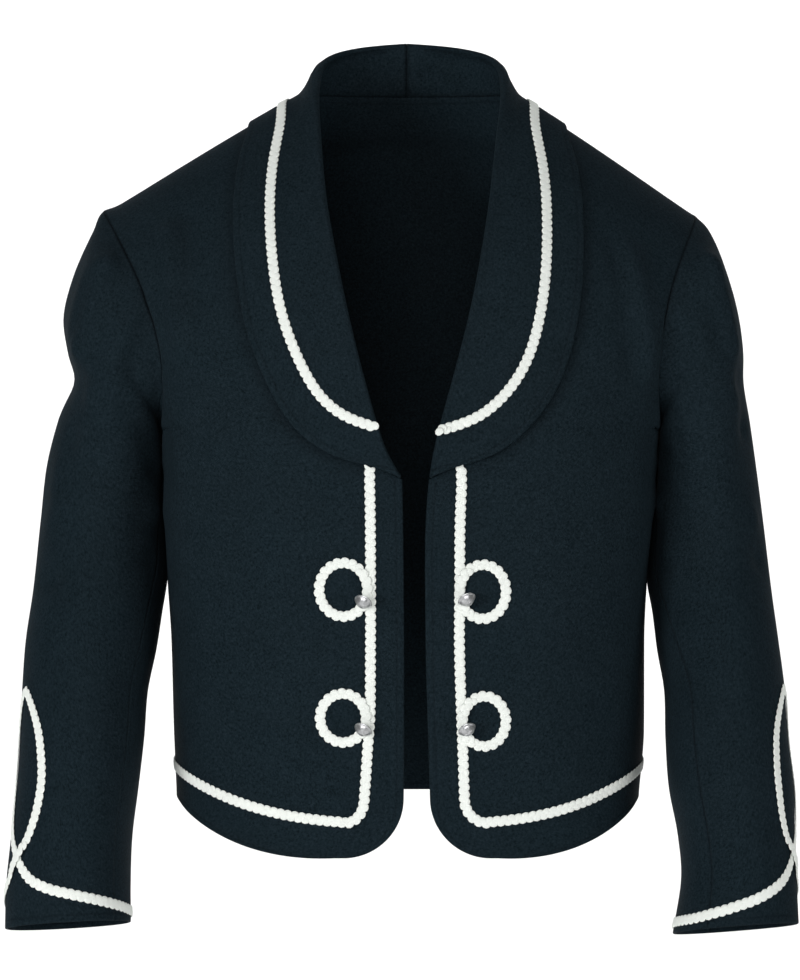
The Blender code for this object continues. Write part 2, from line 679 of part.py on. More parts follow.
def front_braid_path(side):
    """Down the front from the collar, round the lower corner and along the hem to the side seam."""
    sign = SIDES[side]
    corner_z = HEM_FRONT_Z + CORNER_RADIUS
    down = []
    for z in np.linspace(FRONT_BRAID_TOP_Z, corner_z, 24):
        down.append(edge_point(side, min(z, FRONT_LEVELS[-3])) + (sign * FRONT_BRAID_INSET, 0.0, 0.0))
        down[-1][2] = z
    reach = sign * (CORNER_RADIUS - FRONT_BRAID_INSET)
    drop = CORNER_RADIUS - BRAID_INSET
    centre = edge_point(side, corner_z) + (sign * CORNER_RADIUS, 0.0, 0.0)
    turns = [0.5 * math.pi * k / 8 for k in range(1, 8)]
    corner = [centre - np.array((reach * math.cos(a), 0.0, drop * math.sin(a))) for a in turns]
    hem = [p for p in hem_line(outer["front_" + side]) if sign * p[0] > sign * centre[0]]
    path = resample(np.vstack([down, corner, hem]), step=BRAID_STEP)
    return shortened(path, 0.0, BRAID_END_GAP)


def loop_path(loop):
    """Middle line of a braid loop, open towards the front braid."""
    sign = SIDES[loop.side]
    path = []
    for k in range(LOOP_STEPS + 1):
        angle = LOOP_OPEN_ANGLE + (2.0 * math.pi - 2.0 * LOOP_OPEN_ANGLE) * k / LOOP_STEPS
        z = loop.z + LOOP_HALF_HEIGHT * math.sin(angle)
        point = edge_point(loop.side, z)
        point[0] = sign * (loop.x - LOOP_HALF_WIDTH * math.cos(angle))
        path.append(point)
    return path


def beside_front_braid(side):
    """Keeps a point of a loop on the outer side of the front braid."""
    def keep(point):
        least = abs(edge_point(side, point.z)[0]) + FRONT_BRAID_INSET + 0.5 * BRAID_WIDTH + SEAM_GAP
        point.x = SIDES[side] * max(SIDES[side] * point.x, least)
        return point
    return keep


def collar_braid_path(side, face, normals, surface):
    """Parallel to the collar's outer edge, from the roll at its lower end to the centre back."""
    ahead = np.gradient(face[:, -1], axis=0)
    falls = np.linalg.norm(np.diff(face[:, ROLL_TOP_COLUMN:], axis=1), axis=2).sum(axis=1)
    wide = np.flatnonzero(falls > COLLAR_BRAID_INSET + 0.5 * BRAID_WIDTH)
    path = []
    for i in wide:
        start = face[i, -1]
        inward = Vector(np.cross(normals[i, -1], ahead[i]) * SIDES[side]).normalized()
        point = Vector(start)
        for _ in range(COLLAR_BRAID_MARCH):
            place, normal, _ = seat(surface, point + inward * (COLLAR_BRAID_INSET / COLLAR_BRAID_MARCH))
            inward = (inward - normal * inward.dot(normal)).normalized()
            point = place
        path.append(point)
    run_on = (path[0] - path[1]).normalized() * COLLAR_BRAID_RUN_ON[side]
    return [path[0] + run_on] + path


def cuff_point(grid, degrees, height):
    """Point of a sleeve at an angle from its outer line and a height above the cuff's edge."""
    place = (degrees / 360.0 * RING_COLUMNS) % RING_COLUMNS
    column = int(place)
    pair = []
    for c in (column % RING_COLUMNS, (column + 1) % RING_COLUMNS):
        line = grid[::-1, c]
        lengths = np.concatenate(([0.0], np.cumsum(np.linalg.norm(np.diff(line, axis=0), axis=1))))
        pair.append(np.array([np.interp(height, lengths, line[:, axis]) for axis in range(3)]))
    return pair[0] * (1.0 - place + column) + pair[1] * (place - column)


def cuff_axis(side, height):
    """Angle of the axis of the cuff braid's loop at a height."""
    share = (height - CROSSING_HEIGHT) / (CUFF_BRAID[-1].height - CROSSING_HEIGHT)
    axis = CUFF_AXES[side]
    return axis.crossing + (axis.top - axis.crossing) * min(max(share, 0.0), 1.0)


def cuff_braid_path(side):
    """Cuff braid: along the cuff, up over the crossing, round the loop, down and along to its start."""
    grid = outer["sleeve_" + side]
    there = [(row.degrees, row.height) for row in CUFF_BRAID]
    back = [(-row.degrees, row.height) for row in CUFF_BRAID[-2:0:-1]]
    meeting = [(CUFF_BRAID[0].degrees - 360.0, CUFF_BRAID[0].height)]
    table = [CuffRow(place, *row) for place, row in enumerate(there + back + meeting)]
    points = []
    for place in np.linspace(0.0, table[-1].place, CUFF_BRAID_FINE * len(table)):
        height = read_table(table, "height", place)
        degrees = cuff_axis(side, height) + read_table(table, "degrees", place)
        points.append(cuff_point(grid, degrees, height))
    return shortened(resample(points, step=CUFF_BRAID_STEP), BRAID_END_GAP, BRAID_END_GAP)


def crossing_lifts(side, path):
    """Lift of the later stretch of the cuff braid where it passes over the earlier one."""
    crossing = cuff_point(outer["sleeve_" + side], CUFF_AXES[side].crossing, CROSSING_HEIGHT)
    lifts = []
    for i, point in enumerate(path):
        beyond = (np.linalg.norm(point - crossing) - CROSSING_FLAT) / (CROSSING_REACH - CROSSING_FLAT)
        share = 1.0 - min(max(beyond, 0.0), 1.0)
        later = 2 * i > len(path)
        lifts.append(CROSSING_LIFT * share * share * (3.0 - 2.0 * share) if later else 0.0)
    return lifts


def add_button(loop, surface):
    """A turned button on its shank, sewn beside the front braid and drooping towards the middle."""
    sign = SIDES[loop.side]
    guess = edge_point(loop.side, loop.z - BUTTON_BASE_DOWN)
    guess[0] = sign * (loop.x - BUTTON_BASE_IN[loop.side])
    place, normal, _ = seat(surface, guess)
    droop = Vector((-sign * BUTTON_DROOP[0], 0.0, -BUTTON_DROOP[1]))
    axis = normal * math.cos(BUTTON_TILT) + droop * math.sin(BUTTON_TILT)
    mesh = bpy.data.meshes.new("button_" + loop.name)
    edges = [(k, k + 1) for k in range(len(BUTTON_PROFILE) - 1)]
    mesh.from_pydata([(p.radius, 0.0, p.height) for p in BUTTON_PROFILE], edges, [])
    mesh.materials.append(silver)
    button = bpy.data.objects.new("button_" + loop.name, mesh)
    jacket.objects.link(button)
    turn = button.modifiers.new("turn", "SCREW")
    turn.steps = BUTTON_STEPS
    turn.render_steps = BUTTON_STEPS
    turn.use_merge_vertices = True
    turn.merge_threshold = 0.00001
    turn.use_smooth_shade = True
    button.location = place + normal * (SEAM_GAP + BUTTON_SHANK_RADIUS * math.sin(BUTTON_TILT))
    button.rotation_euler = Vector((0.0, 0.0, 1.0)).rotation_difference(axis).to_euler()
    return button


def halved(points):
    """A polyline with a new point in the middle of each stretch."""
    middle = 0.5 * (points[:-1] + points[1:])
    both = np.empty((len(points) + len(middle), 3))
    both[0::2] = points
    both[1::2] = middle
    return both


def neck_line(side, cloth):
    """Points of the neck seam from the break to the centre back, on one face of the cloth."""
    start_row = CORNER_STEPS + 1 + FRONT_LEVELS.index(COLLAR_SEAM_START_Z)
    front = cloth["front_" + side][start_row:, 0]
    middle = NECK_COLUMNS + FRONT_COLUMNS
    back = cloth["back"][-1]
    neck = back[middle - NECK_COLUMNS:middle + NECK_COLUMNS + 1]
    to_middle = neck if side == "right" else neck[::-1]
    return halved(np.concatenate([front, to_middle[1:NECK_COLUMNS + 1]]))


def seam_shares(line):
    """Place of each neck seam point: 0 at the break, 1 at the shoulder seam, 2 at the centre back."""
    lengths = np.concatenate(([0.0], np.cumsum(np.linalg.norm(np.diff(line, axis=0), axis=1))))
    shoulder = len(line) - 1 - 2 * NECK_COLUMNS
    front = lengths[:shoulder + 1] / lengths[shoulder]
    back = 1.0 + (lengths[shoulder + 1:] - lengths[shoulder]) / (lengths[-1] - lengths[shoulder])
    return np.concatenate([front, back])


def collar_point(side, kind, share):
    """The roll or the outer edge of the collar at a place along the seam."""
    x = SIDES[side] * read_table(COLLAR, kind + "_x_" + side, share)
    return Vector((x, read_table(COLLAR, kind + "_y", share), read_table(COLLAR, kind + "_z", share)))


def ease_clear(grid, surface, clearance, first_column):
    """Lifts a grid's cells off a surface where their middles come too close to it."""
    for _ in range(CLEAR_PASSES):
        for r in range(len(grid) - 1):
            for c in range(first_column, grid.shape[1] - 1):
                corners = [(r, c), (r, c + 1), (r + 1, c + 1), (r + 1, c)]
                for chosen in (corners, corners[:2], corners[1:3], corners[0:3:2], corners[1:4:2]):
                    middle = sum(grid[cell] for cell in chosen) / len(chosen)
                    _, facing, distance = seat(surface, middle)
                    if distance < clearance:
                        for cell in chosen:
                            grid[cell] += np.array(facing) * (clearance - distance)


def collar_sections(side, trunk):
    """Middle surface of one half of the collar: stand, roll and fall at each station."""
    outer_seam = neck_line(side, outer)
    inner_seam = neck_line(side, inner)
    sections = []
    for share, outside, inside in zip(seam_shares(outer_seam), outer_seam, inner_seam):
        roll = collar_point(side, "roll", share)
        edge = collar_point(side, "edge", share)
        base = Vector(0.5 * (outside + inside))
        normal = Vector(outside - inside).normalized()
        up = (roll - base).normalized()
        out = (normal - up * normal.dot(up)).normalized()
        radius = ROLL_RADIUS_TIP + (ROLL_RADIUS_BACK - ROLL_RADIUS_TIP) * 0.5 * share
        start = base + up * SEAM_GAP
        turn = roll - up * radius
        section = [start, 0.5 * (start + turn)]
        for k in range(ROLL_STEPS + 1):
            angle = math.pi * k / ROLL_STEPS
            section.append(turn + out * (radius * (1 - math.cos(angle))) + up * (radius * math.sin(angle)))
        leave = section[-1]
        control = leave - up * (FALL_DROP * (edge - leave).length)
        for t in FALL_SHARES:
            point = (1 - t) ** 2 * leave + 2 * t * (1 - t) * control + t * t * edge
            place, facing, distance = seat(trunk, point)
            rest = COLLAR_CLEARANCE + 0.5 * COLLAR_WALL
            wanted = max(rest, rest + (distance - rest) * (1 - t) ** 2)
            section.append(point + facing * (wanted - distance))
        sections.append([np.array(p) for p in section])
    sections = np.array(sections)
    stand_columns = len(section) - len(FALL_SHARES)
    ease_clear(sections, trunk, COLLAR_CLEARANCE + 0.5 * COLLAR_WALL, stand_columns)
    sections[-1, :, 0] = SIDES[side] * 0.5 * SEAM_GAP
    return sections, inner_seam - outer_seam


for old in list(bpy.data.objects):
    bpy.data.objects.remove(old)
jacket = bpy.data.collections.new("vaquero_jacket")
bpy.context.scene.collection.children.link(jacket)

wool = new_material("wool", (0.011, 0.016, 0.020), 0.85, 0.0)
gimp = new_material("gimp_braid", (0.82, 0.81, 0.76), 0.80, 0.0)
silver = new_material("silver", (0.62, 0.62, 0.61), 0.30, 1.0)

# Cloth surfaces, folded, with normals shared at the seams
fronts = {side: front_grid(side) for side in SIDES}
shapes = {"front_" + side: (fronts[side], False) for side in SIDES}
shapes["back"] = (back_grid(fronts), False)
shapes.update({"sleeve_" + side: (sleeve_grid(side), True) for side in SIDES})
flat_normals = joined_normals(shapes)
folded = {}
for name, (grid, closed) in shapes.items():
    lift = np.array([[fold_height(p) for p in row] for row in grid])
    folded[name] = (grid + flat_normals[name] * lift[:, :, None], closed)
outward = joined_normals(folded)
outer = {name: grid for name, (grid, _) in folded.items()}
inner = {name: outer[name] - outward[name] * WALL for name in outer}

# Seam edges of a piece: a line of its points and the line next to it
ALL = slice(None)
FIRST_ROW = ((0, ALL), (1, ALL))
LAST_ROW = ((-1, ALL), (-2, ALL))
FIRST_COLUMN = ((ALL, 0), (ALL, 1))
LAST_COLUMN = ((ALL, -1), (ALL, -2))
RIGHT_SHOULDER = ((-1, slice(0, FRONT_COLUMNS + 1)), (-2, slice(0, FRONT_COLUMNS + 1)))
LEFT_SHOULDER = ((-1, slice(-FRONT_COLUMNS - 1, None)), (-2, slice(-FRONT_COLUMNS - 1, None)))


def add_panel(name, source, columns, edges):
    """A cut piece from some columns of a cloth surface, drawn in at its seams."""
    normals = outward[source][:, columns]
    outside = draw_in(outer[source][:, columns], normals, edges)
    inside = draw_in(inner[source][:, columns], normals, edges)
    add_wall(name, outside, inside, wool)


# Fronts and back
for side in SIDES:
    add_panel("front_" + side, "front_" + side, ALL, (LAST_COLUMN, LAST_ROW))
add_panel("back", "back", ALL, (FIRST_COLUMN, LAST_COLUMN, RIGHT_SHOULDER, LEFT_SHOULDER))

# Sleeves, each split at its two seams
under = list(range(FRONT_SEAM_COLUMN, BACK_SEAM_COLUMN + 1))
upper = [c % RING_COLUMNS for c in range(BACK_SEAM_COLUMN, FRONT_SEAM_COLUMN + RING_COLUMNS + 1)]
for side in SIDES:
    for part, columns in (("upper", upper), ("under", under)):
        name = "sleeve_" + part + "_" + side
        add_panel(name, "sleeve_" + side, columns, (FIRST_ROW, FIRST_COLUMN, LAST_COLUMN))

# Collar halves, seated on the fronts and back
trunk_names = ("front_right", "front_left", "back")
trunk = surface_of(*((outer[name], outward[name]) for name in trunk_names))
collar_outer = {}
for side in SIDES:
    middle, seam_normals = collar_sections(side, trunk)
    along = np.gradient(middle, axis=0)
    across = np.gradient(middle, axis=1)
    normals = np.cross(across, along) * SIDES[side]
    normals[:, 0] = seam_normals
    normals[-1, :, 0] = 0.0
    normals /= np.linalg.norm(normals, axis=2, keepdims=True)
    face = middle + normals * (0.5 * COLLAR_WALL)
    collar_outer[side] = (face, normals)
    add_wall("collar_" + side, face, middle - normals * (0.5 * COLLAR_WALL), wool)

# Braid round the collar
collar_paths = {}
for side in SIDES:
    face, normals = collar_outer[side]
    collar_paths[side] = collar_braid_path(side, face, normals, surface_of((face, normals)))
collar_surface = surface_of(*collar_outer.values())
collar_path = resample(collar_paths["right"][:-1] + collar_paths["left"][::-1], step=BRAID_STEP)
add_braid("braid_collar", collar_path, collar_surface)

# Braid down the fronts and along the hem, with the loops and buttons beside it
for side in SIDES:
    front_surface = surface_of((outer["front_" + side], outward["front_" + side]))
    add_braid("braid_front_" + side, front_braid_path(side), front_surface)
    for loop in LOOPS:
        if loop.side == side:
            path = loop_path(loop)
            add_braid("braid_loop_" + loop.name, path, front_surface, None, beside_front_braid(side))
            add_button(loop, front_surface)
hem_path = shortened(resample(hem_line(outer["back"]), step=BRAID_STEP), BRAID_END_GAP, BRAID_END_GAP)
add_braid("braid_back_hem", hem_path, surface_of((outer["back"], outward["back"])))

# Braid on the cuffs, crossing itself below the loop
AROUND = list(range(RING_COLUMNS)) + [0]
for side in SIDES:
    name = "sleeve_" + side
    sleeve_surface = surface_of((outer[name][:, AROUND], outward[name][:, AROUND]))
    cuff_path = cuff_braid_path(side)
    add_braid("braid_cuff_" + side, cuff_path, sleeve_surface, crossing_lifts(side, cuff_path))
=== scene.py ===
"""Waist-length vaquero jacket in dark wool with a shawl collar, off-white gimp braid and silver buttons.

The front faces -Y, +X is the wearer's left and +Z is up, in metres.
"""

import math
from collections import namedtuple

import bpy
import numpy as np
from mathutils import Matrix, Vector
from mathutils.bvhtree import BVHTree


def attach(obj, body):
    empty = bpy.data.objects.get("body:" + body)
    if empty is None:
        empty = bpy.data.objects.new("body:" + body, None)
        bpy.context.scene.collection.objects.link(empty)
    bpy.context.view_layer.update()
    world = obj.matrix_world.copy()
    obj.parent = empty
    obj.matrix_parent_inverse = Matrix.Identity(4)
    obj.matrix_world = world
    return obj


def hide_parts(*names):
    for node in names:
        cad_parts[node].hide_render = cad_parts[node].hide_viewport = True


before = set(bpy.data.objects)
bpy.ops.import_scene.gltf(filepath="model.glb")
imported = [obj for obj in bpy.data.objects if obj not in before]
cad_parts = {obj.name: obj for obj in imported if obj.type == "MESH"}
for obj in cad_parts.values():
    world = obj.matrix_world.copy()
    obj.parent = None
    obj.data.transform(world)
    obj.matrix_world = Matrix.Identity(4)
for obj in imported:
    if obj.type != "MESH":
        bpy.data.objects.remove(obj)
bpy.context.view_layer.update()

# Fronts: two pieces cut from dark wool, open down the middle, each with a rounded lower corner and a
# hem that dips to the front. A front is drawn in rows from the hem to the shoulder seam.
def table(columns, *rows):
    """Rows of sizes with named columns."""
    row_type = namedtuple("Row", columns)
    return [row_type(*row) for row in rows]


SIDES = {"right": -1.0, "left": 1.0}
HEM_FRONT_Z = -0.594
HEM_SIDE_Z = -0.553
PIT_FRONT_Z = -0.275
PIT_SIDE_Z = -0.262
BREAK_Z = -0.300
CORNER_RADIUS = 0.045
CORNER_ROWS = 24
BODY_ROWS = 62
BREAK_ROWS = 7
ARMHOLE_ROWS = 60
FRONT_COLUMNS = 64
FRONT_SQUARE = 2.8
TOP_SQUARE = 2.0
HEM_RISE = 2.6
SHOULDER_ROUND = 0.25
SECTION_POINTS = 301
NECK_POINTS = 300
FRONT_EDGE = table(
    "z x_right x_left y",
    (-0.594, 0.0035, 0.0185, -0.1215),
    (-0.520, 0.0025, 0.0165, -0.1245),
    (-0.430, 0.0025, 0.0140, -0.1275),
    (-0.360, 0.0030, 0.0135, -0.1290),
    (-0.304, 0.0040, 0.0165, -0.1290),
    (-0.300, 0.0110, 0.0235, -0.1285),
    (-0.282, 0.0225, 0.0265, -0.1280),
    (-0.256, 0.0310, 0.0330, -0.1265),
    (-0.216, 0.0420, 0.0440, -0.1225),
    (-0.170, 0.0535, 0.0560, -0.1135),
    (-0.128, 0.0625, 0.0645, -0.0995),
    (-0.087, 0.0705, 0.0720, -0.0780),
    (-0.045, 0.0770, 0.0785, -0.0510),
    (-0.014, 0.0810, 0.0835, -0.0250),
    (0.002, 0.0825, 0.0850, -0.0040),
    (0.006, 0.0830, 0.0855, 0.0120),
)
SIDE_SEAM = table(
    "z x_right x_left y",
    (-0.553, 0.1835, 0.1845, 0.003),
    (-0.500, 0.1858, 0.1888, 0.003),
    (-0.430, 0.1878, 0.1890, 0.004),
    (-0.380, 0.1910, 0.1914, 0.004),
    (-0.340, 0.1925, 0.1945, 0.004),
    (-0.262, 0.1935, 0.1985, 0.004),
)
Armhole = namedtuple("Armhole", "top_x top_y top_z pit_x pit_y pit_z half_depth front_drop pinch")
ARMHOLES = {
    "right": Armhole(0.2410, 0.012, -0.089, 0.1935, 0.004, -0.262, 0.078, 0.008, 0.020),
    "left": Armhole(0.2310, 0.012, -0.092, 0.1985, 0.004, -0.262, 0.078, 0.008, 0.016),
}


def curve(keys, values, tangents, wanted):
    """A smooth curve through the values at some keys, with a tangent at each."""
    i = np.clip(np.searchsorted(keys, wanted, side="right") - 1, 0, len(keys) - 2)
    span = keys[i + 1] - keys[i]
    t = (wanted - keys[i]) / span
    shape = np.shape(t) + (1,) * (values.ndim - 1)
    t, span = np.reshape(t, shape), np.reshape(span, shape)
    start = (1 + 2 * t) * (1 - t) ** 2 * values[i] + t * (1 - t) ** 2 * span * tangents[i]
    end = t * t * (3 - 2 * t) * values[i + 1] + t * t * (t - 1) * span * tangents[i + 1]
    return start + end


def along(rows, column, keys):
    """Values of a table's column on a smooth curve through its rows; the first column is the key."""
    places = np.array([row[0] for row in rows])
    values = np.array([getattr(row, column) for row in rows])
    slopes = np.diff(values) / np.diff(places)
    tangents = np.concatenate([slopes[:1], slopes])
    agree = slopes[:-1] * slopes[1:] > 0.0
    total = np.where(agree, slopes[:-1] + slopes[1:], 1.0)
    tangents[1:-1] = np.where(agree, 2.0 * slopes[:-1] * slopes[1:] / total, 0.0)
    return curve(places, values, tangents, np.clip(np.asarray(keys, float), places[0], places[-1]))


def run_lengths(line):
    """Length along a line up to each of its points."""
    return np.concatenate(([0.0], np.cumsum(np.linalg.norm(np.diff(line, axis=0), axis=1))))


def even(points, count=None, step=None):
    """Points at even distances along a line, ends included."""
    points = np.array(points, float)
    lengths = run_lengths(points)
    if count is None:
        count = max(2, round(lengths[-1] / step) + 1)
    wanted = np.linspace(0.0, lengths[-1], count)
    return np.stack([np.interp(wanted, lengths, points[:, axis]) for axis in range(3)], axis=1)


def body_row(start, end, columns, square, roundness, rise):
    """A level section of the body: a squared quarter ring eased to a straight line."""
    turn = 0.5 * math.pi * np.linspace(0.0, 1.0, SECTION_POINTS)
    across = np.sin(turn) ** (2.0 / square)
    turned = 1.0 - np.maximum(np.cos(turn), 0.0) ** (2.0 / square)
    depth = roundness * turned + (1.0 - roundness) * across
    shares = np.stack([across, depth, across ** rise], axis=1)
    return even(np.array(start) + (np.array(end) - np.array(start)) * shares, columns + 1)


def armhole_ring(side, turns):
    """Points of the armhole: 0 at the shoulder, a quarter turn at the front, a half turn at the pit."""
    hole = ARMHOLES[side]
    top = np.array((hole.top_x, hole.top_y, hole.top_z))
    pit = np.array((hole.pit_x, hole.pit_y, hole.pit_z))
    sine = np.sin(turns)[:, None]
    ring = 0.5 * (top + pit) + 0.5 * (top - pit) * np.cos(turns)[:, None]
    ring = ring + np.array((0.0, -hole.half_depth, -hole.front_drop)) * sine
    ring[:, 0] -= hole.pinch * sine[:, 0] ** 2
    return ring * (SIDES[side], 1.0, 1.0)


def edge_points(side, z):
    z = np.atleast_1d(np.asarray(z, float))
    x = SIDES[side] * along(FRONT_EDGE, "x_" + side, z)
    return np.stack([x, along(FRONT_EDGE, "y", z), z], axis=1)


def body_levels():
    """Heights of the rows below the armhole at the front edge, and how far the corner draws them in."""
    turns = 0.5 * math.pi * np.linspace(0.0, 1.0, CORNER_ROWS + 1)
    corner = HEM_FRONT_Z + CORNER_RADIUS * (1.0 - np.cos(turns))
    inset = CORNER_RADIUS * (1.0 - np.sin(turns))
    plain = np.linspace(corner[-1], BREAK_Z, BODY_ROWS + 1)[1:]
    upper = np.linspace(BREAK_Z, PIT_FRONT_Z, BREAK_ROWS + 1)[1:]
    heights = np.concatenate([corner, plain, upper])
    return heights, np.concatenate([inset, np.zeros(len(heights) - len(inset))])


def rise_to(hem_z, pit_z, heights):
    """Heights of the same rows at another place round the body, between its own hem and pit."""
    return hem_z + (pit_z - hem_z) * ((heights - HEM_FRONT_Z) / (PIT_FRONT_Z - HEM_FRONT_Z))


def side_points(side, heights):
    z = rise_to(HEM_SIDE_Z, PIT_SIDE_Z, heights)
    x = SIDES[side] * along(SIDE_SEAM, "x_" + side, z)
    return np.stack([x, along(SIDE_SEAM, "y", z), z], axis=1)


def body_form(side, starts, columns, square, top_round, way):
    """Rows from their starts to the side seam, and then to the armhole, way being -1 at its front."""
    lower = side_points(side, body_levels()[0])
    upper = np.linspace(0.0, 1.0, ARMHOLE_ROWS + 1)[1:]
    ends = np.concatenate([lower, armhole_ring(side, math.pi * (1.0 + way * upper))])
    rows = []
    for share, start, end in zip(np.concatenate([np.zeros(len(lower)), upper]), starts, ends):
        row_square = square + (TOP_SQUARE - square) * share
        roundness = 1.0 + (top_round - 1.0) * share
        rise = HEM_RISE + (1.0 - HEM_RISE) * share
        rows.append(body_row(start, end, columns, row_square, roundness, rise))
    return np.array(rows)


def front_form(side):
    heights, insets = body_levels()
    starts = edge_points(side, heights)
    starts[:, 0] += SIDES[side] * insets
    neck = edge_points(side, np.linspace(PIT_FRONT_Z, FRONT_EDGE[-1].z, NECK_POINTS))
    starts = np.concatenate([starts, even(neck, ARMHOLE_ROWS + 1)[1:]])
    return body_form(side, starts, FRONT_COLUMNS, FRONT_SQUARE, SHOULDER_ROUND, -1.0)


forms = {"front_" + side: front_form(side) for side in SIDES}

# Back: one piece cut on the fold from the same wool, shaped in at the waist and sewn to the fronts at the
# sides and shoulders.
HEM_BACK_Z = -0.560
PIT_BACK_Z = -0.258
BACK_SQUARE = 2.8
BACK_TOP_ROUND = 0.45
NECK_COLUMNS = 30
NECK_BACK = np.array((0.0, 0.068, 0.010))
NECK_EASE = 3
CENTRE_BACK = table(
    "z y",
    (-0.560, 0.104),
    (-0.500, 0.098),
    (-0.420, 0.094),
    (-0.340, 0.101),
    (-0.260, 0.110),
    (-0.180, 0.114),
    (-0.100, 0.108),
    (-0.040, 0.092),
    (0.010, 0.068),
)


def centre_back(z):
    return np.stack([z * 0.0, along(CENTRE_BACK, "y", z), z], axis=1)


def half_back(side):
    """One half of the back, each row from the centre back to the side seam or the armhole."""
    shares = np.linspace(0.0, 1.0, ARMHOLE_ROWS + 1)
    lower = rise_to(HEM_BACK_Z, PIT_BACK_Z, body_levels()[0])
    upper = PIT_BACK_Z + (NECK_BACK[2] - PIT_BACK_Z) * shares[1:]
    starts = centre_back(np.concatenate([lower, upper]))
    rows = body_form(side, starts, NECK_COLUMNS + FRONT_COLUMNS, BACK_SQUARE, BACK_TOP_ROUND, 1.0)
    turn = 0.5 * math.pi * np.linspace(1.0, 0.0, NECK_COLUMNS + 1)[:-1]
    blend = np.stack([1.0 - np.cos(turn), np.sin(turn), np.sin(turn)], axis=1)
    corner = edge_points(side, FRONT_EDGE[-1].z)[0]
    top = np.concatenate([corner + (NECK_BACK - corner) * blend, forms["front_" + side][-1]])
    shift = top - rows[-1]
    rows[-1 - ARMHOLE_ROWS:] += shift * (shares ** NECK_EASE)[:, None, None]
    return rows


forms["back"] = np.concatenate([half_back("right")[:, :0:-1], half_back("left")], axis=1)

# Sleeves: each is cut as an upper and an under sleeve. Its rings run from the armhole to the cuff, and
# the front seam lies where it shows on the inner side of the arm.
RING_COLUMNS = 2 * ARMHOLE_ROWS
RING_SQUARE = 2.15
CUFF_SLANT = 0.17
SLEEVE_ROWS = 150
FRONT_SEAM_COLUMN = 42
BACK_SEAM_COLUMN = 84
FRONT_HALF_COLUMN = 20
SLEEVE_SIZES = "x_out z_out x_in z_in y_mid depth"
SLEEVES = {
    "right": table(
        SLEEVE_SIZES,
        (0.2544, -0.1117, 0.1952, -0.2659, 0.010, 0.160),
        (0.2680, -0.1434, 0.1941, -0.2769, 0.012, 0.164),
        (0.2754, -0.1751, 0.1937, -0.2878, 0.015, 0.166),
        (0.2724, -0.2020, 0.1935, -0.2989, 0.017, 0.164),
        (0.2701, -0.2271, 0.1934, -0.3110, 0.018, 0.160),
        (0.2801, -0.2573, 0.1932, -0.3272, 0.018, 0.157),
        (0.2882, -0.2897, 0.1930, -0.3485, 0.015, 0.152),
        (0.2929, -0.3364, 0.1918, -0.3770, 0.006, 0.147),
        (0.2972, -0.3930, 0.1953, -0.4092, -0.012, 0.141),
        (0.3015, -0.4312, 0.1990, -0.4383, -0.026, 0.137),
        (0.3028, -0.4662, 0.2046, -0.4692, -0.039, 0.133),
        (0.3030, -0.5060, 0.2066, -0.5060, -0.053, 0.128),
        (0.3045, -0.5458, 0.2102, -0.5438, -0.065, 0.122),
        (0.3081, -0.5855, 0.2142, -0.5825, -0.076, 0.115),
        (0.3107, -0.6202, 0.2147, -0.6172, -0.085, 0.108),
        (0.3108, -0.6520, 0.2140, -0.6460, -0.092, 0.104),
    ),
    "left": table(
        SLEEVE_SIZES,
        (0.2460, -0.1127, 0.2005, -0.2659, 0.010, 0.160),
        (0.2577, -0.1434, 0.1988, -0.2769, 0.012, 0.164),
        (0.2657, -0.1731, 0.1982, -0.2878, 0.015, 0.166),
        (0.2696, -0.2020, 0.1977, -0.2989, 0.017, 0.164),
        (0.2699, -0.2251, 0.1971, -0.3110, 0.018, 0.160),
        (0.2750, -0.2573, 0.1960, -0.3272, 0.018, 0.157),
        (0.2807, -0.2998, 0.1945, -0.3506, 0.015, 0.152),
        (0.2848, -0.3384, 0.1922, -0.3780, 0.006, 0.147),
        (0.2896, -0.3930, 0.1958, -0.4092, -0.012, 0.141),
        (0.2935, -0.4312, 0.1985, -0.4383, -0.026, 0.137),
        (0.2968, -0.4662, 0.2030, -0.4692, -0.039, 0.133),
        (0.2980, -0.5060, 0.2030, -0.5060, -0.053, 0.128),
        (0.3015, -0.5458, 0.2047, -0.5438, -0.065, 0.122),
        (0.3011, -0.5855, 0.2109, -0.5805, -0.076, 0.115),
        (0.3017, -0.6182, 0.2127, -0.6122, -0.085, 0.108),
        (0.3025, -0.6480, 0.2055, -0.6550, -0.092, 0.106),
    ),
}
FRONT_SEAM = table(
    "ring right left",
    (0, 126.0, 126.0),
    (1, 152.0, 152.0),
    (4, 160.0, 160.0),
    (8, 150.0, 154.0),
    (11, 142.0, 130.0),
    (16, 142.0, 121.0),
)


def smooth_rows(grid, count):
    """A grid with more rows, on smooth curves through the rows given."""
    steps = np.linalg.norm(np.diff(grid, axis=0), axis=2).mean(axis=1)[:, None, None]
    slopes = np.diff(grid, axis=0) / steps
    tangents = np.concatenate([slopes[:1], slopes])
    weight = steps[:-1] / (steps[:-1] + steps[1:])
    tangents[1:-1] = slopes[:-1] * (1.0 - weight) + slopes[1:] * weight
    keys = np.concatenate(([0.0], np.cumsum(steps)))
    return curve(keys, grid, tangents, np.linspace(0.0, keys[-1], count))


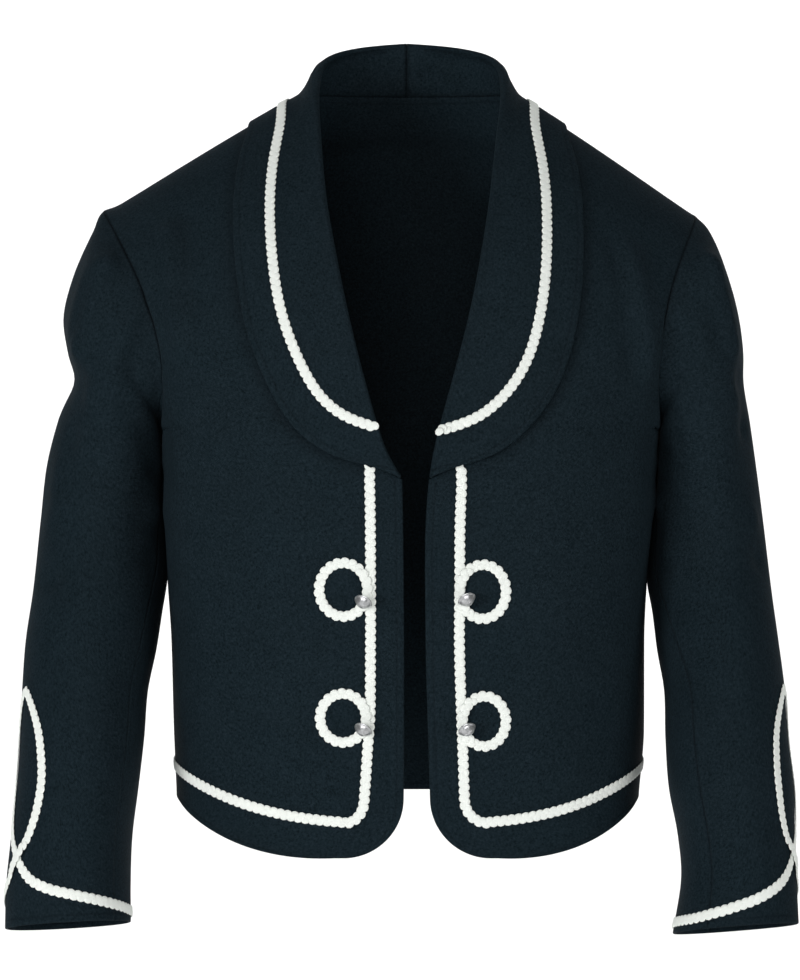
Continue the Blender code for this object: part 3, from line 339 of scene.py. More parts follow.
def sleeve_form(side):
    """Rings from the armhole to the cuff, spaced so that each seam keeps to one column."""
    even_turn = 360.0 / RING_COLUMNS
    power = 2.0 / RING_SQUARE
    rows = [armhole_ring(side, np.radians(even_turn * np.arange(RING_COLUMNS)))]
    for number, ring in enumerate(SLEEVES[side], start=1):
        spread = table(
            "column degrees",
            (0, 0.0),
            (FRONT_HALF_COLUMN, even_turn * FRONT_HALF_COLUMN),
            (FRONT_SEAM_COLUMN, float(along(FRONT_SEAM, side, number))),
            (BACK_SEAM_COLUMN, even_turn * BACK_SEAM_COLUMN),
            (RING_COLUMNS, 360.0),
        )
        turns = np.radians(along(spread, "degrees", np.arange(RING_COLUMNS)))[:, None]
        cosine, sine = (np.sign(v) * np.abs(v) ** power for v in (np.cos(turns), np.sin(turns)))
        outer = np.array((ring.x_out, ring.y_mid, ring.z_out))
        inner = np.array((ring.x_in, ring.y_mid, ring.z_in))
        slant = CUFF_SLANT * number / len(SLEEVES[side])
        forward = 0.5 * ring.depth * np.array((0.0, -1.0, slant))
        row = 0.5 * (outer + inner) + 0.5 * (outer - inner) * cosine + forward * sine
        rows.append(row * (SIDES[side], 1.0, 1.0))
    return smooth_rows(np.array(rows), SLEEVE_ROWS)


forms.update({"sleeve_" + side: sleeve_form(side) for side in SIDES})

# Drape: soft ridges and troughs where the wool hangs from the shoulders and bends in the arms. Each runs
# from one point to another on the cloth, all in millimetres; a height below 0 is a trough.
MILLIMETRE = 0.001
CREASES = MILLIMETRE * np.array((
    (-246, -58, -125, -264, -52, -215, 17, 4.5),
    (-222, -66, -190, -246, -58, -270, 17, 3.5),
    (-262, 82, -150, -250, 92, -260, 18, 4.5),
    (238, -58, -120, 262, -54, -200, 17, 4.5),
    (262, -55, -225, 240, -61, -300, 17, 3.5),
    (262, 80, -140, 246, 92, -255, 18, 4.5),
    (-180, -85, -110, -178, -100, -200, 18, 3.5),
    (176, -85, -140, 190, -80, -205, 18, 3.5),
    (-150, 100, -120, -160, 85, -300, 22, 4),
    (150, 100, -120, 160, 85, -300, 22, 4),
    (-235, -54, -134, -256, -61, -203, 7.5, 5.2),
    (-246, -58, -148, -255, -58, -185, 7.5, -3.4),
    (-262, -43, -221, -241, -67, -232, 11, -3.4),
    (-203, -61, -226, -201, -28, -288, 12, 4.2),
    (-202, -29, -312, -204, -43, -367, 12, 2.6),
    (-230, -68, -164, -243, -69, -199, 9, -1.8),
    (-208, -71, -187, -224, -64, -257, 10, -1.6),
    (-268, -20, -223, -262, 30, -222, 14, -3.4),
    (-243, -30, -94, -243, 45, -94, 9.5, 3.4),
    (243, -30, -95, 243, 45, -95, 9.5, 2.6),
    (-274, -42, -296, -280, -45, -336, 12, 2),
    (-285, -56, -383, -269, -75, -390, 9, -2.2),
    (-210, -68, -168, -250, -58, -240, 8, 2.6),
    (-202, -33, -296, -263, -48, -273, 8.5, -3.6),
    (-201, -29, -329, -271, -52, -324, 10, 3.2),
    (-204, -43, -367, -277, -66, -381, 9, -3.2),
    (-243, -80, -390, -252, -124, -534, 16, 1.2),
    (-285, 50, -350, -215, 65, -385, 11, -1.6),
    (-290, 30, -410, -212, 45, -430, 12, 1.5),
    (-240, 80, -300, -238, 55, -400, 16, 1.4),
    (238, -50, -133, 256, -55, -198, 7.5, 4.6),
    (248, -46, -148, 257, -48, -182, 7.5, -3),
    (204, -61, -226, 203, -30, -288, 12, 4.2),
    (203, -28, -312, 205, -45, -367, 12, 2.6),
    (231, -67, -164, 243, -65, -203, 9, -1.8),
    (221, -70, -191, 229, -63, -257, 10, -1.6),
    (260, -45, -221, 246, -62, -234, 11, -2.4),
    (214, -69, -173, 259, -49, -243, 8, 2.6),
    (205, -35, -282, 266, -35, -263, 8.5, -3.6),
    (202, -26, -322, 271, -45, -333, 10, 3.2),
    (205, -47, -372, 275, -53, -367, 9, -3.2),
    (244, -83, -397, 253, -125, -534, 16, 1.2),
    (280, 48, -340, 214, 66, -372, 11, -1.6),
    (284, 26, -420, 210, 42, -424, 12, 1.5),
    (236, 78, -310, 234, 50, -410, 16, 1.4),
    (-187, -56, -110, -178, -86, -196, 8, 4.2),
    (-172, -55, -96, -167, -86, -165, 8, -3.6),
    (176, -70, -125, 190, -84, -222, 9.5, 3),
    (162, -75, -115, 175, -90, -215, 9.5, -2.8),
    (-135, -110, -297, -140, -99, -520, 20, -1.2),
    (-88, -123, -335, -95, -117, -534, 20, 1.1),
    (139, -110, -304, 147, -98, -528, 20, -1.2),
    (102, -122, -335, 106, -115, -542, 20, 1.1),
    (-168, -87, -258, -164, -87, -366, 14, -1.3),
    (166, -94, -266, 162, -91, -382, 14, -1.3),
    (-120, 96, -425, -30, 95, -412, 15, -1.5),
    (40, 95, -440, 130, 88, -428, 15, -1.5),
    (-58, 112, -190, -50, 100, -390, 22, 1.4),
    (72, 111, -210, 60, 98, -400, 22, 1.4),
    (-140, 70, -500, -120, 90, -548, 18, 1.4),
    (110, 92, -490, 130, 85, -548, 18, 1.4),
))
FACING = {"front_right": -1.0, "front_left": 1.0, "back": -1.0, "sleeve_right": -1.0, "sleeve_left": 1.0}
NO_LENGTH = 1e-12
SEAM_DIGITS = 5


def crease_heights(points):
    """How far the creases lift the cloth at each point of a grid."""
    total = np.zeros(points.shape[:2])
    for x0, y0, z0, x1, y1, z1, width, height in CREASES:
        start = np.array((x0, y0, z0))
        run = np.array((x1, y1, z1)) - start
        share = np.clip(np.sum((points - start) * run, axis=2) / np.dot(run, run), 0.0, 1.0)
        distance = np.linalg.norm(points - start - share[:, :, None] * run, axis=2)
        total += height * np.exp(-((distance / width) ** 2))
    return total


def unit(vectors):
    """The same directions at length 1."""
    return vectors / np.maximum(np.linalg.norm(vectors, axis=-1, keepdims=True), NO_LENGTH)


def grid_normals(grid, closed, facing):
    """Outward normals at the points of a grid of cloth."""
    across = np.roll(grid, -1, axis=1) - np.roll(grid, 1, axis=1) if closed else np.gradient(grid, axis=1)
    return facing * unit(np.cross(across, np.gradient(grid, axis=0)))


def sewn_normals(grids):
    """Outward normals of the cloth, shared where pieces meet at a seam."""
    normals = {n: grid_normals(g, n.startswith("sleeve"), FACING[n]) for n, g in grids.items()}
    body = {}
    arms = {}
    places = []
    for name, grid in grids.items():
        rows, columns = grid.shape[:2]
        rim = {(0, c) for c in range(columns)}
        if not name.startswith("sleeve"):
            rim |= {(rows - 1, c) for c in range(columns)}
            rim |= {(r, c) for r in range(rows) for c in (0, columns - 1)}
        sums = arms if name.startswith("sleeve") else body
        for cell in rim:
            key = tuple(np.round(grid[cell], SEAM_DIGITS))
            sums[key] = sums.get(key, 0.0) + normals[name][cell]
            places.append((name, cell, key))
    for name, cell, key in places:
        groups = [unit(sums[key]) for sums in (body, arms) if key in sums]
        normals[name][cell] = unit(sum(groups))
    return normals


flat_normals = sewn_normals(forms)
cloth = {name: form + flat_normals[name] * crease_heights(form)[:, :, None] for name, form in forms.items()}
cloth_normals = sewn_normals(cloth)

# Wool: a dense dark navy cloth, almost black, with a fine twill, a short nap and a little sheen. Seams
# and pressed edges show as thin grooves with painted shade along them, and a soft band of painted
# shadow lies beside the collar's edge.
WOOL_DARK = (0.0026, 0.0062, 0.0082, 1.0)
WOOL_LIGHT = (0.0140, 0.0244, 0.0318, 1.0)
# Colour of the painted shade along seams and pressed edges and beside the collar's edge.
PAINTED_SHADE_DARK = (0.002, 0.003, 0.004, 1.0)
SHEEN_TINT = (0.55, 0.68, 0.80, 1.0)
TWILL_PITCH = 0.0011
TWILL_LEAN = 0.8
YARN_LONG = 420.0
YARN_ACROSS = 1500.0
CLOUD_SCALE = 38.0
LINT_SCALE = 520.0
SEAM_LINE_WIDTH = 0.0011
EDGE_LINE = 0.0055
EDGE_LINE_WIDTH = 0.0009
TONE_SHARES = {"yarn": 1.1, "pick": 0.9, "cloud": 0.3, "lint": 1.4, "twill": 0.06}
TONE_SHIFT = 1.38
WEAVE_SHARES = {"yarn": 0.5, "pick": 0.4, "lint": 0.5, "twill": 0.12, "shut": -1.6, "pressed": -0.8}
WEAVE_HEIGHT = 0.0006
WEAVE_STRENGTH = 0.35
# How much the painted shade darkens the wool along seams and along pressed edges.
SEAM_SHADE_DARKENS = 0.6
EDGE_SHADE_DARKENS = 0.25


class Sum:
    """A node's value that takes part in sums written out plainly."""

    def __init__(self, nodes, socket):
        self.nodes = nodes
        self.socket = socket

    def other(self, name):
        """Another output of the same node."""
        return Sum(self.nodes, self.socket.node.outputs[name])

    def math(self, operation, *others):
        return self.nodes.add("ShaderNodeMath", dict(enumerate((self, *others))), operation=operation)

    def __add__(self, other):
        return self.math("ADD", other)

    __radd__ = __add__

    def __mul__(self, other):
        return self.math("MULTIPLY", other)

    __rmul__ = __mul__

    def __sub__(self, other):
        return self.math("SUBTRACT", other)

    def __rsub__(self, other):
        return self * -1.0 + other


class Nodes:
    """A node tree, built node by node."""

    def __init__(self, tree):
        self.tree = tree

    def fill(self, socket, value):
        if isinstance(value, Sum):
            self.tree.links.new(value.socket, socket)
        else:
            socket.default_value = value

    def add(self, kind, inputs=None, out=0, **settings):
        node = self.tree.nodes.new(kind)
        for key, value in settings.items():
            setattr(node, key, value)
        for key, value in (inputs or {}).items():
            self.fill(node.inputs[key], value)
        return Sum(self, node.outputs[out])


class Finish(Nodes):
    """A material with its Principled shader."""

    def __init__(self, name):
        self.material = bpy.data.materials.new(name)
        self.material.use_nodes = True
        super().__init__(self.material.node_tree)

    def noise(self, scale, detail, place=None):
        """Noise over a place given, or else over the piece's own coordinates."""
        place = place or self.add("ShaderNodeTexCoord", out="Object")
        return self.add("ShaderNodeTexNoise", {"Vector": place, "Scale": scale, "Detail": detail})

    def attribute(self, name):
        return self.add("ShaderNodeAttribute", out="Fac", attribute_name=name)

    def mix(self, share, first, second):
        """A colour between two others."""
        return self.add("ShaderNodeMix", {0: share, 6: first, 7: second}, 2, data_type="RGBA")

    def line(self, distance, place, width):
        """1 on a thin line at a distance from an edge, falling off to 0."""
        off = (distance - place) * (1.0 / width)
        return (off * off * -1.0).math("EXPONENT")

    def relief(self, height, strength, distance):
        return self.add("ShaderNodeBump", {"Strength": strength, "Distance": distance, "Height": height})

    def surface(self, **inputs):
        shader = self.tree.nodes["Principled BSDF"]
        for key, value in inputs.items():
            self.fill(shader.inputs[key.replace("_", " ")], value)


def wool_finish():
    finish = Finish("wool")
    cut = finish.add("ShaderNodeUVMap", uv_map="cut")
    u = finish.add("ShaderNodeSeparateXYZ", {0: cut})
    warp, weft = (
        finish.add("ShaderNodeMapping", {"Vector": cut, "Scale": scale})
        for scale in ((YARN_ACROSS, YARN_LONG, 1.0), (YARN_LONG, YARN_ACROSS, 1.0))
    )
    parts = {
        "yarn": finish.noise(1.0, detail=2.0, place=warp),
        "pick": finish.noise(1.0, detail=2.0, place=weft),
        "cloud": finish.noise(CLOUD_SCALE, detail=4.0),
        "lint": finish.noise(LINT_SCALE, detail=3.0),
        "twill": ((u * TWILL_LEAN + u.other("Y")) * (2.0 * math.pi / TWILL_PITCH)).math("SINE"),
        # Lines along the seams and the pressed edges, each one a groove and a line of painted shade.
        "shut": finish.line(finish.attribute("seam"), 0.0, SEAM_LINE_WIDTH) * finish.attribute("mark"),
        "pressed": finish.line(finish.attribute("edge"), EDGE_LINE, EDGE_LINE_WIDTH),
    }
    tone, weave = (
        sum(parts[name] * share for name, share in shares.items()) for shares in (TONE_SHARES, WEAVE_SHARES)
    )
    colour = finish.mix(tone - TONE_SHIFT, WOOL_DARK, WOOL_LIGHT)
    # Painted shade: the seam lines, the pressed-edge lines and the painted shadow beside the collar's edge
    # darken the wool's colour.
    lines = parts["shut"] * SEAM_SHADE_DARKENS + parts["pressed"] * EDGE_SHADE_DARKENS + finish.attribute("rubbed")
    finish.surface(
        Base_Color=finish.mix(lines, colour, PAINTED_SHADE_DARK),
        Normal=finish.relief(weave, WEAVE_STRENGTH, WEAVE_HEIGHT),
        Roughness=0.72 + parts["cloud"] * 0.2,
        Specular_IOR_Level=0.04,
        Sheen_Weight=0.012,
        Sheen_Roughness=0.45,
        Sheen_Tint=SHEEN_TINT,
    )
    return finish.material


wool = wool_finish()

# Sewn cloth pieces: each is a thin wall with a soft rounded edge, drawn in at its seams so that two
# edges meet in a fine groove.
WALL = 0.0020
SEAM_DRAW = 0.0002
# How strongly each kind of seam shows, as a groove and as painted shade.
ARMHOLE_MARK = 1.0
SEAM_MARK = 0.7
ARM_SEAM_MARK = {"right": 0.1, "left": 0.45}
SIDE_LINES = {
    "start": ((slice(None), 0), (slice(None), 1)),
    "end": ((slice(None), -1), (slice(None), -2)),
    "bottom": ((0, slice(None)), (1, slice(None))),
    "top": ((-1, slice(None)), (-2, slice(None))),
}
RIM_TURNS = (0.25 * math.pi, 0.5 * math.pi, 0.75 * math.pi)


def lengths_along(grid, axis):
    steps = np.linalg.norm(np.diff(grid, axis=axis), axis=2)
    first = np.zeros_like(np.take(steps, [0], axis=axis))
    return np.concatenate([first, np.cumsum(steps, axis=axis)], axis=axis)


def cloth_area(grid):
    one = np.cross(grid[:-1, 1:] - grid[:-1, :-1], grid[1:, 1:] - grid[:-1, :-1])
    two = np.cross(grid[1:, 1:] - grid[:-1, :-1], grid[1:, :-1] - grid[:-1, :-1])
    return 0.5 * float(np.linalg.norm(one, axis=2).sum() + np.linalg.norm(two, axis=2).sum())


def grid_quads(grid):
    """Faces between the points of a grid."""
    ids = np.arange(grid.shape[0] * grid.shape[1]).reshape(grid.shape[:2])
    return np.stack([ids[:-1, :-1], ids[:-1, 1:], ids[1:, 1:], ids[1:, :-1]], axis=-1).reshape(-1, 4)


def turned_in(grid, normals):
    """Whether the faces of a grid look away from its outward normals."""
    r, c = grid.shape[0] // 2, grid.shape[1] // 2
    facing = np.cross(grid[r, c + 1] - grid[r, c], grid[r + 1, c] - grid[r, c])
    return np.dot(facing, normals[r, c]) < 0.0


def add_object(name, data):
    made = bpy.data.objects.new(name, data)
    bpy.context.scene.collection.objects.link(made)
    return made


def sew_piece(node, face, normals, seams, wall):
    """A cloth wall from the grid of its outer face; seams tells how strongly each sewn side shows, as a
    groove and as painted shade.
    """
    rows, columns = face.shape[:2]
    across = lengths_along(face, 1)
    up = lengths_along(face, 0)
    reach = {"start": across, "end": across[:, -1:] - across, "bottom": up, "top": up[-1:] - up}
    far = np.full((rows, columns), 1.0)
    seam = np.minimum.reduce([far] + [reach[name] for name in reach if name in seams])
    edge = np.minimum.reduce([far] + [reach[name] for name in reach if name not in seams])
    # mark: the strength of the nearest seam, for its groove and its painted shade.
    mark = np.zeros((rows, columns))
    for name, strength in seams.items():
        mark = np.where(reach[name] <= seam, strength, mark)
    moved = face.copy()
    away = np.zeros_like(face)
    for name, (line, inside) in SIDE_LINES.items():
        step = unit(face[inside] - face[line])
        draw = SEAM_DRAW if name in seams else 0.5 * wall
        moved[line] += draw * step
        away[line] -= draw * step
    away = away - normals * np.sum(away * normals, axis=2, keepdims=True)
    inner = moved - wall * normals
    loop = [(0, c) for c in range(columns)] + [(r, columns - 1) for r in range(1, rows)]
    loop += [(rows - 1, c) for c in range(columns - 2, -1, -1)] + [(r, 0) for r in range(rows - 2, 0, -1)]
    r, c = np.array(loop).T
    middle = 0.5 * (moved[r, c] + inner[r, c])
    rims = [
        middle + 0.5 * wall * normals[r, c] * math.cos(turn) + away[r, c] * math.sin(turn)
        for turn in RIM_TURNS
    ]
    points = np.concatenate([moved.reshape(-1, 3), inner.reshape(-1, 3)] + rims)
    half = rows * columns
    quads = grid_quads(face)
    border = r * columns + c
    rim_ids = [2 * half + k * len(loop) + np.arange(len(loop)) for k in range(len(rims))]
    rings = [border] + rim_ids + [half + border]
    strips = []
    for a, b in zip(rings[:-1], rings[1:]):
        strips.append(np.stack([np.roll(a, -1), a, b, np.roll(b, -1)], axis=-1))
    faces = np.concatenate([quads, quads[:, ::-1] + half] + strips)
    if turned_in(face, normals):
        faces = faces[:, ::-1]
    mesh = bpy.data.meshes.new("wool_" + node)
    mesh.from_pydata(points.tolist(), [], faces.tolist())

    def spread(values):
        """Values of the grid for both faces and the rim between them."""
        both = [values.reshape(half, -1)] * 2
        return np.concatenate(both + [values[r, c].reshape(len(loop), -1)] * len(rims))

    corner = np.empty(len(mesh.loops), np.int32)
    mesh.loops.foreach_get("vertex_index", corner)
    flat = spread(np.stack([across, up], axis=2))
    mesh.uv_layers.new(name="cut").data.foreach_set("uv", flat[corner].ravel())
    for name, values in (("seam", seam), ("edge", edge), ("mark", mark)):
        attribute = mesh.attributes.new(name, "FLOAT", "POINT")
        attribute.data.foreach_set("value", spread(values).ravel())
    mesh.materials.append(wool)
    mesh.shade_smooth()
    piece = add_object("wool_" + node, mesh)
    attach(piece, "root")
    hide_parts(node)
    round(cloth_area(face), 4)


for side in SIDES:
    name = "front_" + side
    sew_piece(name, cloth[name], cloth_normals[name], {"end": SEAM_MARK, "top": SEAM_MARK}, WALL)
sew_piece("back", cloth["back"], cloth_normals["back"], {"start": SEAM_MARK, "end": SEAM_MARK}, WALL)
under = list(range(FRONT_SEAM_COLUMN, BACK_SEAM_COLUMN + 1))
upper = [c % RING_COLUMNS for c in range(BACK_SEAM_COLUMN, FRONT_SEAM_COLUMN + RING_COLUMNS + 1)]
for side in SIDES:
    for part, columns in (("upper", upper), ("under", under)):
        node = "sleeve_" + part + "_" + side
        arm = cloth["sleeve_" + side][:, columns]
        sewn = {"start": ARM_SEAM_MARK[side], "end": ARM_SEAM_MARK[side], "bottom": ARMHOLE_MARK}
        sew_piece(node, arm, cloth_normals["sleeve_" + side][:, columns], sewn, WALL)

# Collar: a shawl collar in two halves joined at the centre back. It stands up from the neck seam, rolls
# over and falls on the fronts and the shoulders.
COLLAR_WALL = 0.0022
SEAM_GAP = 0.0003
ROLL_RADIUS_TIP = 0.0024
ROLL_RADIUS_BACK = 0.0026
STAND_STEPS = 4
ROLL_STEPS = 10
FALL_STEPS = 30
BACK_PLACE = 2.0
COLLAR_EASE = 9
COLLAR_EASING = table("passes first_place", (6, 0.0), (40, 0.85), (4, 0.65))
FALL_DROP = table("place share", (0.0, 0.30), (0.60, 0.30), (0.90, 0.07), (1.40, 0.07), (2.0, 0.25))
FALL_CLING = table("place power", (0.50, 2.0), (0.85, 0.3), (1.35, 0.3), (2.0, 1.0))
FALL_CLEARANCE = table("place gap", (0.65, 0.0026), (0.90, 0.0008))
LIFT_FIRST_PLACE = 0.65
LIFT_SHARE = table("fall share", (0.45, 0.0), (0.75, 1.0))
# Painted shadow: a soft band that darkens the wool beside the collar's outer edge, stronger on the right.
COLLAR_SHADOW_REACH = 0.0075
COLLAR_SHADOW_STRENGTH = {"right": 0.45, "left": 0.30}
BODY_PIECES = ("front_right", "front_left", "back")
COLLAR = table(
    "seam roll_x_right roll_x_left roll_y roll_z edge_x_right edge_x_left edge_y edge_z",
    (0.00, 0.0050, 0.0175, -0.1285, -0.3030, 0.0290, 0.0400, -0.131, -0.2935),
    (0.08, 0.0170, 0.0210, -0.1285, -0.2820, 0.0560, 0.0640, -0.130, -0.2865),
    (0.17, 0.0255, 0.0275, -0.1270, -0.2560, 0.0860, 0.0920, -0.124, -0.2660),
    (0.28, 0.0365, 0.0385, -0.1230, -0.2160, 0.1095, 0.1190, -0.115, -0.2260),
    (0.40, 0.0475, 0.0500, -0.1140, -0.1700, 0.1250, 0.1305, -0.103, -0.1820),
    (0.52, 0.0560, 0.0580, -0.1000, -0.1280, 0.1320, 0.1355, -0.090, -0.1400),
    (0.64, 0.0632, 0.0645, -0.0790, -0.0860, 0.1350, 0.1365, -0.070, -0.0980),
    (0.76, 0.0680, 0.0700, -0.0490, -0.0390, 0.1328, 0.1335, -0.045, -0.0600),
    (0.90, 0.0705, 0.0750, -0.0160, 0.0030, 0.1190, 0.1195, -0.005, -0.0300),
    (1.10, 0.0682, 0.0742, 0.0170, 0.0290, 0.1110, 0.1125, 0.044, -0.0262),
    (1.40, 0.0560, 0.0600, 0.0460, 0.0430, 0.0860, 0.0870, 0.077, -0.0255),
    (1.70, 0.0300, 0.0320, 0.0600, 0.0500, 0.0470, 0.0470, 0.087, -0.0240),
    (2.00, 0.0000, 0.0000, 0.0650, 0.0525, 0.0000, 0.0000, 0.088, -0.0230),
)


def surface_of(*grids):
    """Search tree over the outer faces of some grids of cloth."""
    points = []
    faces = []
    for grid, normals in grids:
        quads = len(points) + grid_quads(grid)
        faces.extend((quads[:, ::-1] if turned_in(grid, normals) else quads).tolist())
        points.extend(Vector(p) for p in grid.reshape(-1, 3))
    return BVHTree.FromPolygons(points, faces)


def seat(surface, point):
    """Nearest point of a surface, its normal, and the signed distance to it."""
    place, normal, _, _ = surface.find_nearest(Vector(point))
    return np.array(place), np.array(normal), float(np.dot(np.array(point) - np.array(place), normal))


def neck_line(side, faces):
    """Neck seam from the break to the centre back, on one face of the cloth."""
    front = faces["front_" + side][CORNER_ROWS + BODY_ROWS:, 0]
    middle = NECK_COLUMNS + FRONT_COLUMNS
    neck = faces["back"][-1][middle - NECK_COLUMNS:middle + NECK_COLUMNS + 1]
    to_middle = neck if side == "right" else neck[::-1]
    return np.concatenate([front, to_middle[1:NECK_COLUMNS + 1]])


def seam_places(line):
    """Place of each neck seam point: 0 at the break, 1 at the shoulder seam, 2 at the centre back."""
    lengths = run_lengths(line)
    shoulder = len(line) - 1 - NECK_COLUMNS
    back = 1.0 + (lengths - lengths[shoulder]) / (lengths[-1] - lengths[shoulder])
    return np.where(np.arange(len(line)) <= shoulder, lengths / lengths[shoulder], back)


def collar_line(side, kind, places):
    x = SIDES[side] * along(COLLAR, kind + "_x_" + side, places)
    return np.stack([x, along(COLLAR, kind + "_y", places), along(COLLAR, kind + "_z", places)], axis=1)


def straight(rows, key):
    """Value between the rows of a table of two columns, on straight lines."""
    return np.interp(key, *np.array(rows).T)


def collar_rest(place):
    """Height of the fall's middle surface over the body, less where it crosses the shoulder."""
    return straight(FALL_CLEARANCE, place) + 0.5 * COLLAR_WALL


def ease(points, passes):
    """Evens out the points of a line or the rows of a grid, in place; the ends stay."""
    for _ in range(passes):
        points[1:-1] = 0.25 * points[:-2] + 0.5 * points[1:-1] + 0.25 * points[2:]


def averaged(directions, reach):
    """Directions along a line, each averaged with its neighbours."""
    spread = np.pad(directions, ((reach, reach), (0, 0)), mode="edge")
    return unit(sum(spread[k:k + len(directions)] for k in range(2 * reach + 1)))


def collar_form(side, body):
    """Middle surface of half a collar, and the direction of its seam edge."""
    outside = neck_line(side, cloth)
    inside = neck_line(side, {name: cloth[name] - WALL * cloth_normals[name] for name in cloth})
    places = seam_places(outside)
    rolls = collar_line(side, "roll", places)
    edges = collar_line(side, "edge", places)
    facing_out = averaged(unit(outside - inside), COLLAR_EASE)
    sections = []
    for place, a, b, roll, edge, normal in zip(places, outside, inside, rolls, edges, facing_out):
        base = 0.5 * (a + b)
        up = unit(roll - base)
        out = unit(normal - up * np.dot(normal, up))
        radius = ROLL_RADIUS_TIP + (ROLL_RADIUS_BACK - ROLL_RADIUS_TIP) * place / BACK_PLACE
        start = base + up * SEAM_GAP
        turn = roll - up * radius
        section = [start + (turn - start) * k / STAND_STEPS for k in range(STAND_STEPS)]
        for angle in np.linspace(0.0, math.pi, ROLL_STEPS + 1):
            section.append(turn + out * radius * (1.0 - math.cos(angle)) + up * radius * math.sin(angle))
        leave = section[-1]
        control = leave - up * straight(FALL_DROP, place) * np.linalg.norm(edge - leave)
        rest = collar_rest(place)
        cling = straight(FALL_CLING, place)
        for t in np.linspace(0.0, 1.0, FALL_STEPS + 1)[1:]:
            point = (1 - t) ** 2 * leave + 2 * t * (1 - t) * control + t * t * edge
            _, facing, distance = seat(body, point)
            wanted = max(rest, rest + (distance - rest) * (1 - t) ** cling)
            section.append(point + facing * (wanted - distance))
        sections.append(section)
    sections = np.array(sections)
    loose = STAND_STEPS + 1
    shoulder = int(np.searchsorted(places, LIFT_FIRST_PLACE))
    for easing in COLLAR_EASING:
        ease(sections[int(np.searchsorted(places, easing.first_place)):, loose:], easing.passes)
        for place, section in zip(places[shoulder:], sections[shoulder:]):
            for step, point in enumerate(section[-FALL_STEPS:], start=1):
                _, facing, distance = seat(body, point)
                low = max(0.0, collar_rest(place) - distance)
                point += facing * straight(LIFT_SHARE, step / FALL_STEPS) * low
    sections[-1, :, 0] = 0.0
    return sections, inside - outside


body_surface = surface_of(*((cloth[name], cloth_normals[name]) for name in BODY_PIECES))
collars = {}
for side in SIDES:
    middle, seam_normals = collar_form(side, body_surface)
    normals = np.cross(np.gradient(middle, axis=1), np.gradient(middle, axis=0)) * SIDES[side]
    normals[:, 0] = seam_normals
    normals[-1, :, 0] = 0.0
    normals = unit(normals)
    face = middle + 0.5 * COLLAR_WALL * normals
    collars[side] = (face, normals)
    sew_piece("collar_" + side, face, normals, {"start": SEAM_MARK, "top": SEAM_MARK}, COLLAR_WALL)
# Painted shadow: the fronts and the back are darkened in a soft band beside each collar's outer edge, where
# the collar's shadow falls.
for name in BODY_PIECES:
    mesh = bpy.data.objects["wool_" + name].data
    spots = np.empty(3 * len(mesh.vertices))
    mesh.vertices.foreach_get("co", spots)
    spots = spots.reshape(-1, 3)
    rubbed = np.zeros(len(spots))
    for side, (face, _) in collars.items():
        off = np.full(len(spots), 1.0)
        for point in face[:, -1]:
            off = np.minimum(off, np.linalg.norm(spots - point, axis=1))
        rubbed = np.maximum(rubbed, COLLAR_SHADOW_STRENGTH[side] * np.exp(-((off / COLLAR_SHADOW_REACH) ** 2)))
    mesh.attributes.new("rubbed", "FLOAT", "POINT").data.foreach_set("value", rubbed)

# Gimp braid: an off-white scalloped braid of two rows of plaited lobes, sewn flat on the cloth. It runs
# round the collar, down the fronts, along the hem, round the loops and over the cuffs.
BRAID_SIZES = {
    "Pitch": 0.0028,
    "Sway": 0.0011,
    "Turn": math.radians(18),
    "Half length": 0.0038,
    "Half width": 0.0032,
    "Half height": 0.0007,
    "Segments": 10,
    "Rings": 6,
}
BRAID_RISE = 0.0008
BRAID_EASE = 2
BRAID_STEP = 0.0030
BRAID_DARK = (0.83, 0.865, 0.815, 1.0)
BRAID_LIGHT = (0.93, 0.965, 0.92, 1.0)
THREAD_SCALE = 2400.0
THREAD_HEIGHT = 0.0005
BRAID_CLOUD_SCALE = 130.0
BRAID_INSET = 0.0270
COLLAR_BRAID_INSET = 0.0303
COLLAR_BRAID_FREE = 0.0042
COLLAR_BRAID_PASSES = 24
COLLAR_BRAID_STEPS = 11
COLLAR_BRAID_RUN_ON = {"right": 0.0130, "left": 0.0195}
FRONT_BRAID_TOP_Z = {"right": -0.2930, "left": -0.2950}
FRONT_BRAID_STRAIGHT_Z = -0.308
FRONT_BRAID_POINTS = 60
CORNER_POINTS = 14
CORNER_GAP = 0.001
FRONT_BRAID_INSET = table(
    "z right left",
    (-0.549, 0.0302, 0.0264),
    (-0.515, 0.0282, 0.0262),
    (-0.475, 0.0258, 0.0260),
    (-0.430, 0.0256, 0.0258),
    (-0.370, 0.0252, 0.0266),
    (-0.345, 0.0250, 0.0264),
    (-0.290, 0.0248, 0.0248),
)
LOOPS = table(
    "name side x z half_width half_height button_in button_down",
    ("upper_right", "right", 0.0489, -0.3881, 0.0186, 0.0206, 0.0165, 0.0068),
    ("lower_right", "right", 0.0491, -0.4863, 0.0178, 0.0188, 0.0166, 0.0059),
    ("upper_left", "left", 0.0577, -0.3897, 0.0179, 0.0208, 0.0137, 0.0035),
    ("lower_left", "left", 0.0588, -0.4888, 0.0168, 0.0193, 0.0146, 0.0035),
)
LOOP_JOIN = math.radians(-30)
LOOP_LIFT = 0.0013
LOOP_OVER = table("inward share", (0.45, 0.0), (0.75, 1.0))
LOOP_POINTS = 60
CuffAxis = namedtuple("CuffAxis", "crossing top")
CUFF_AXES = {"right": CuffAxis(43.0, 31.0), "left": CuffAxis(30.0, 22.0)}
CUFF_POINTS = 400
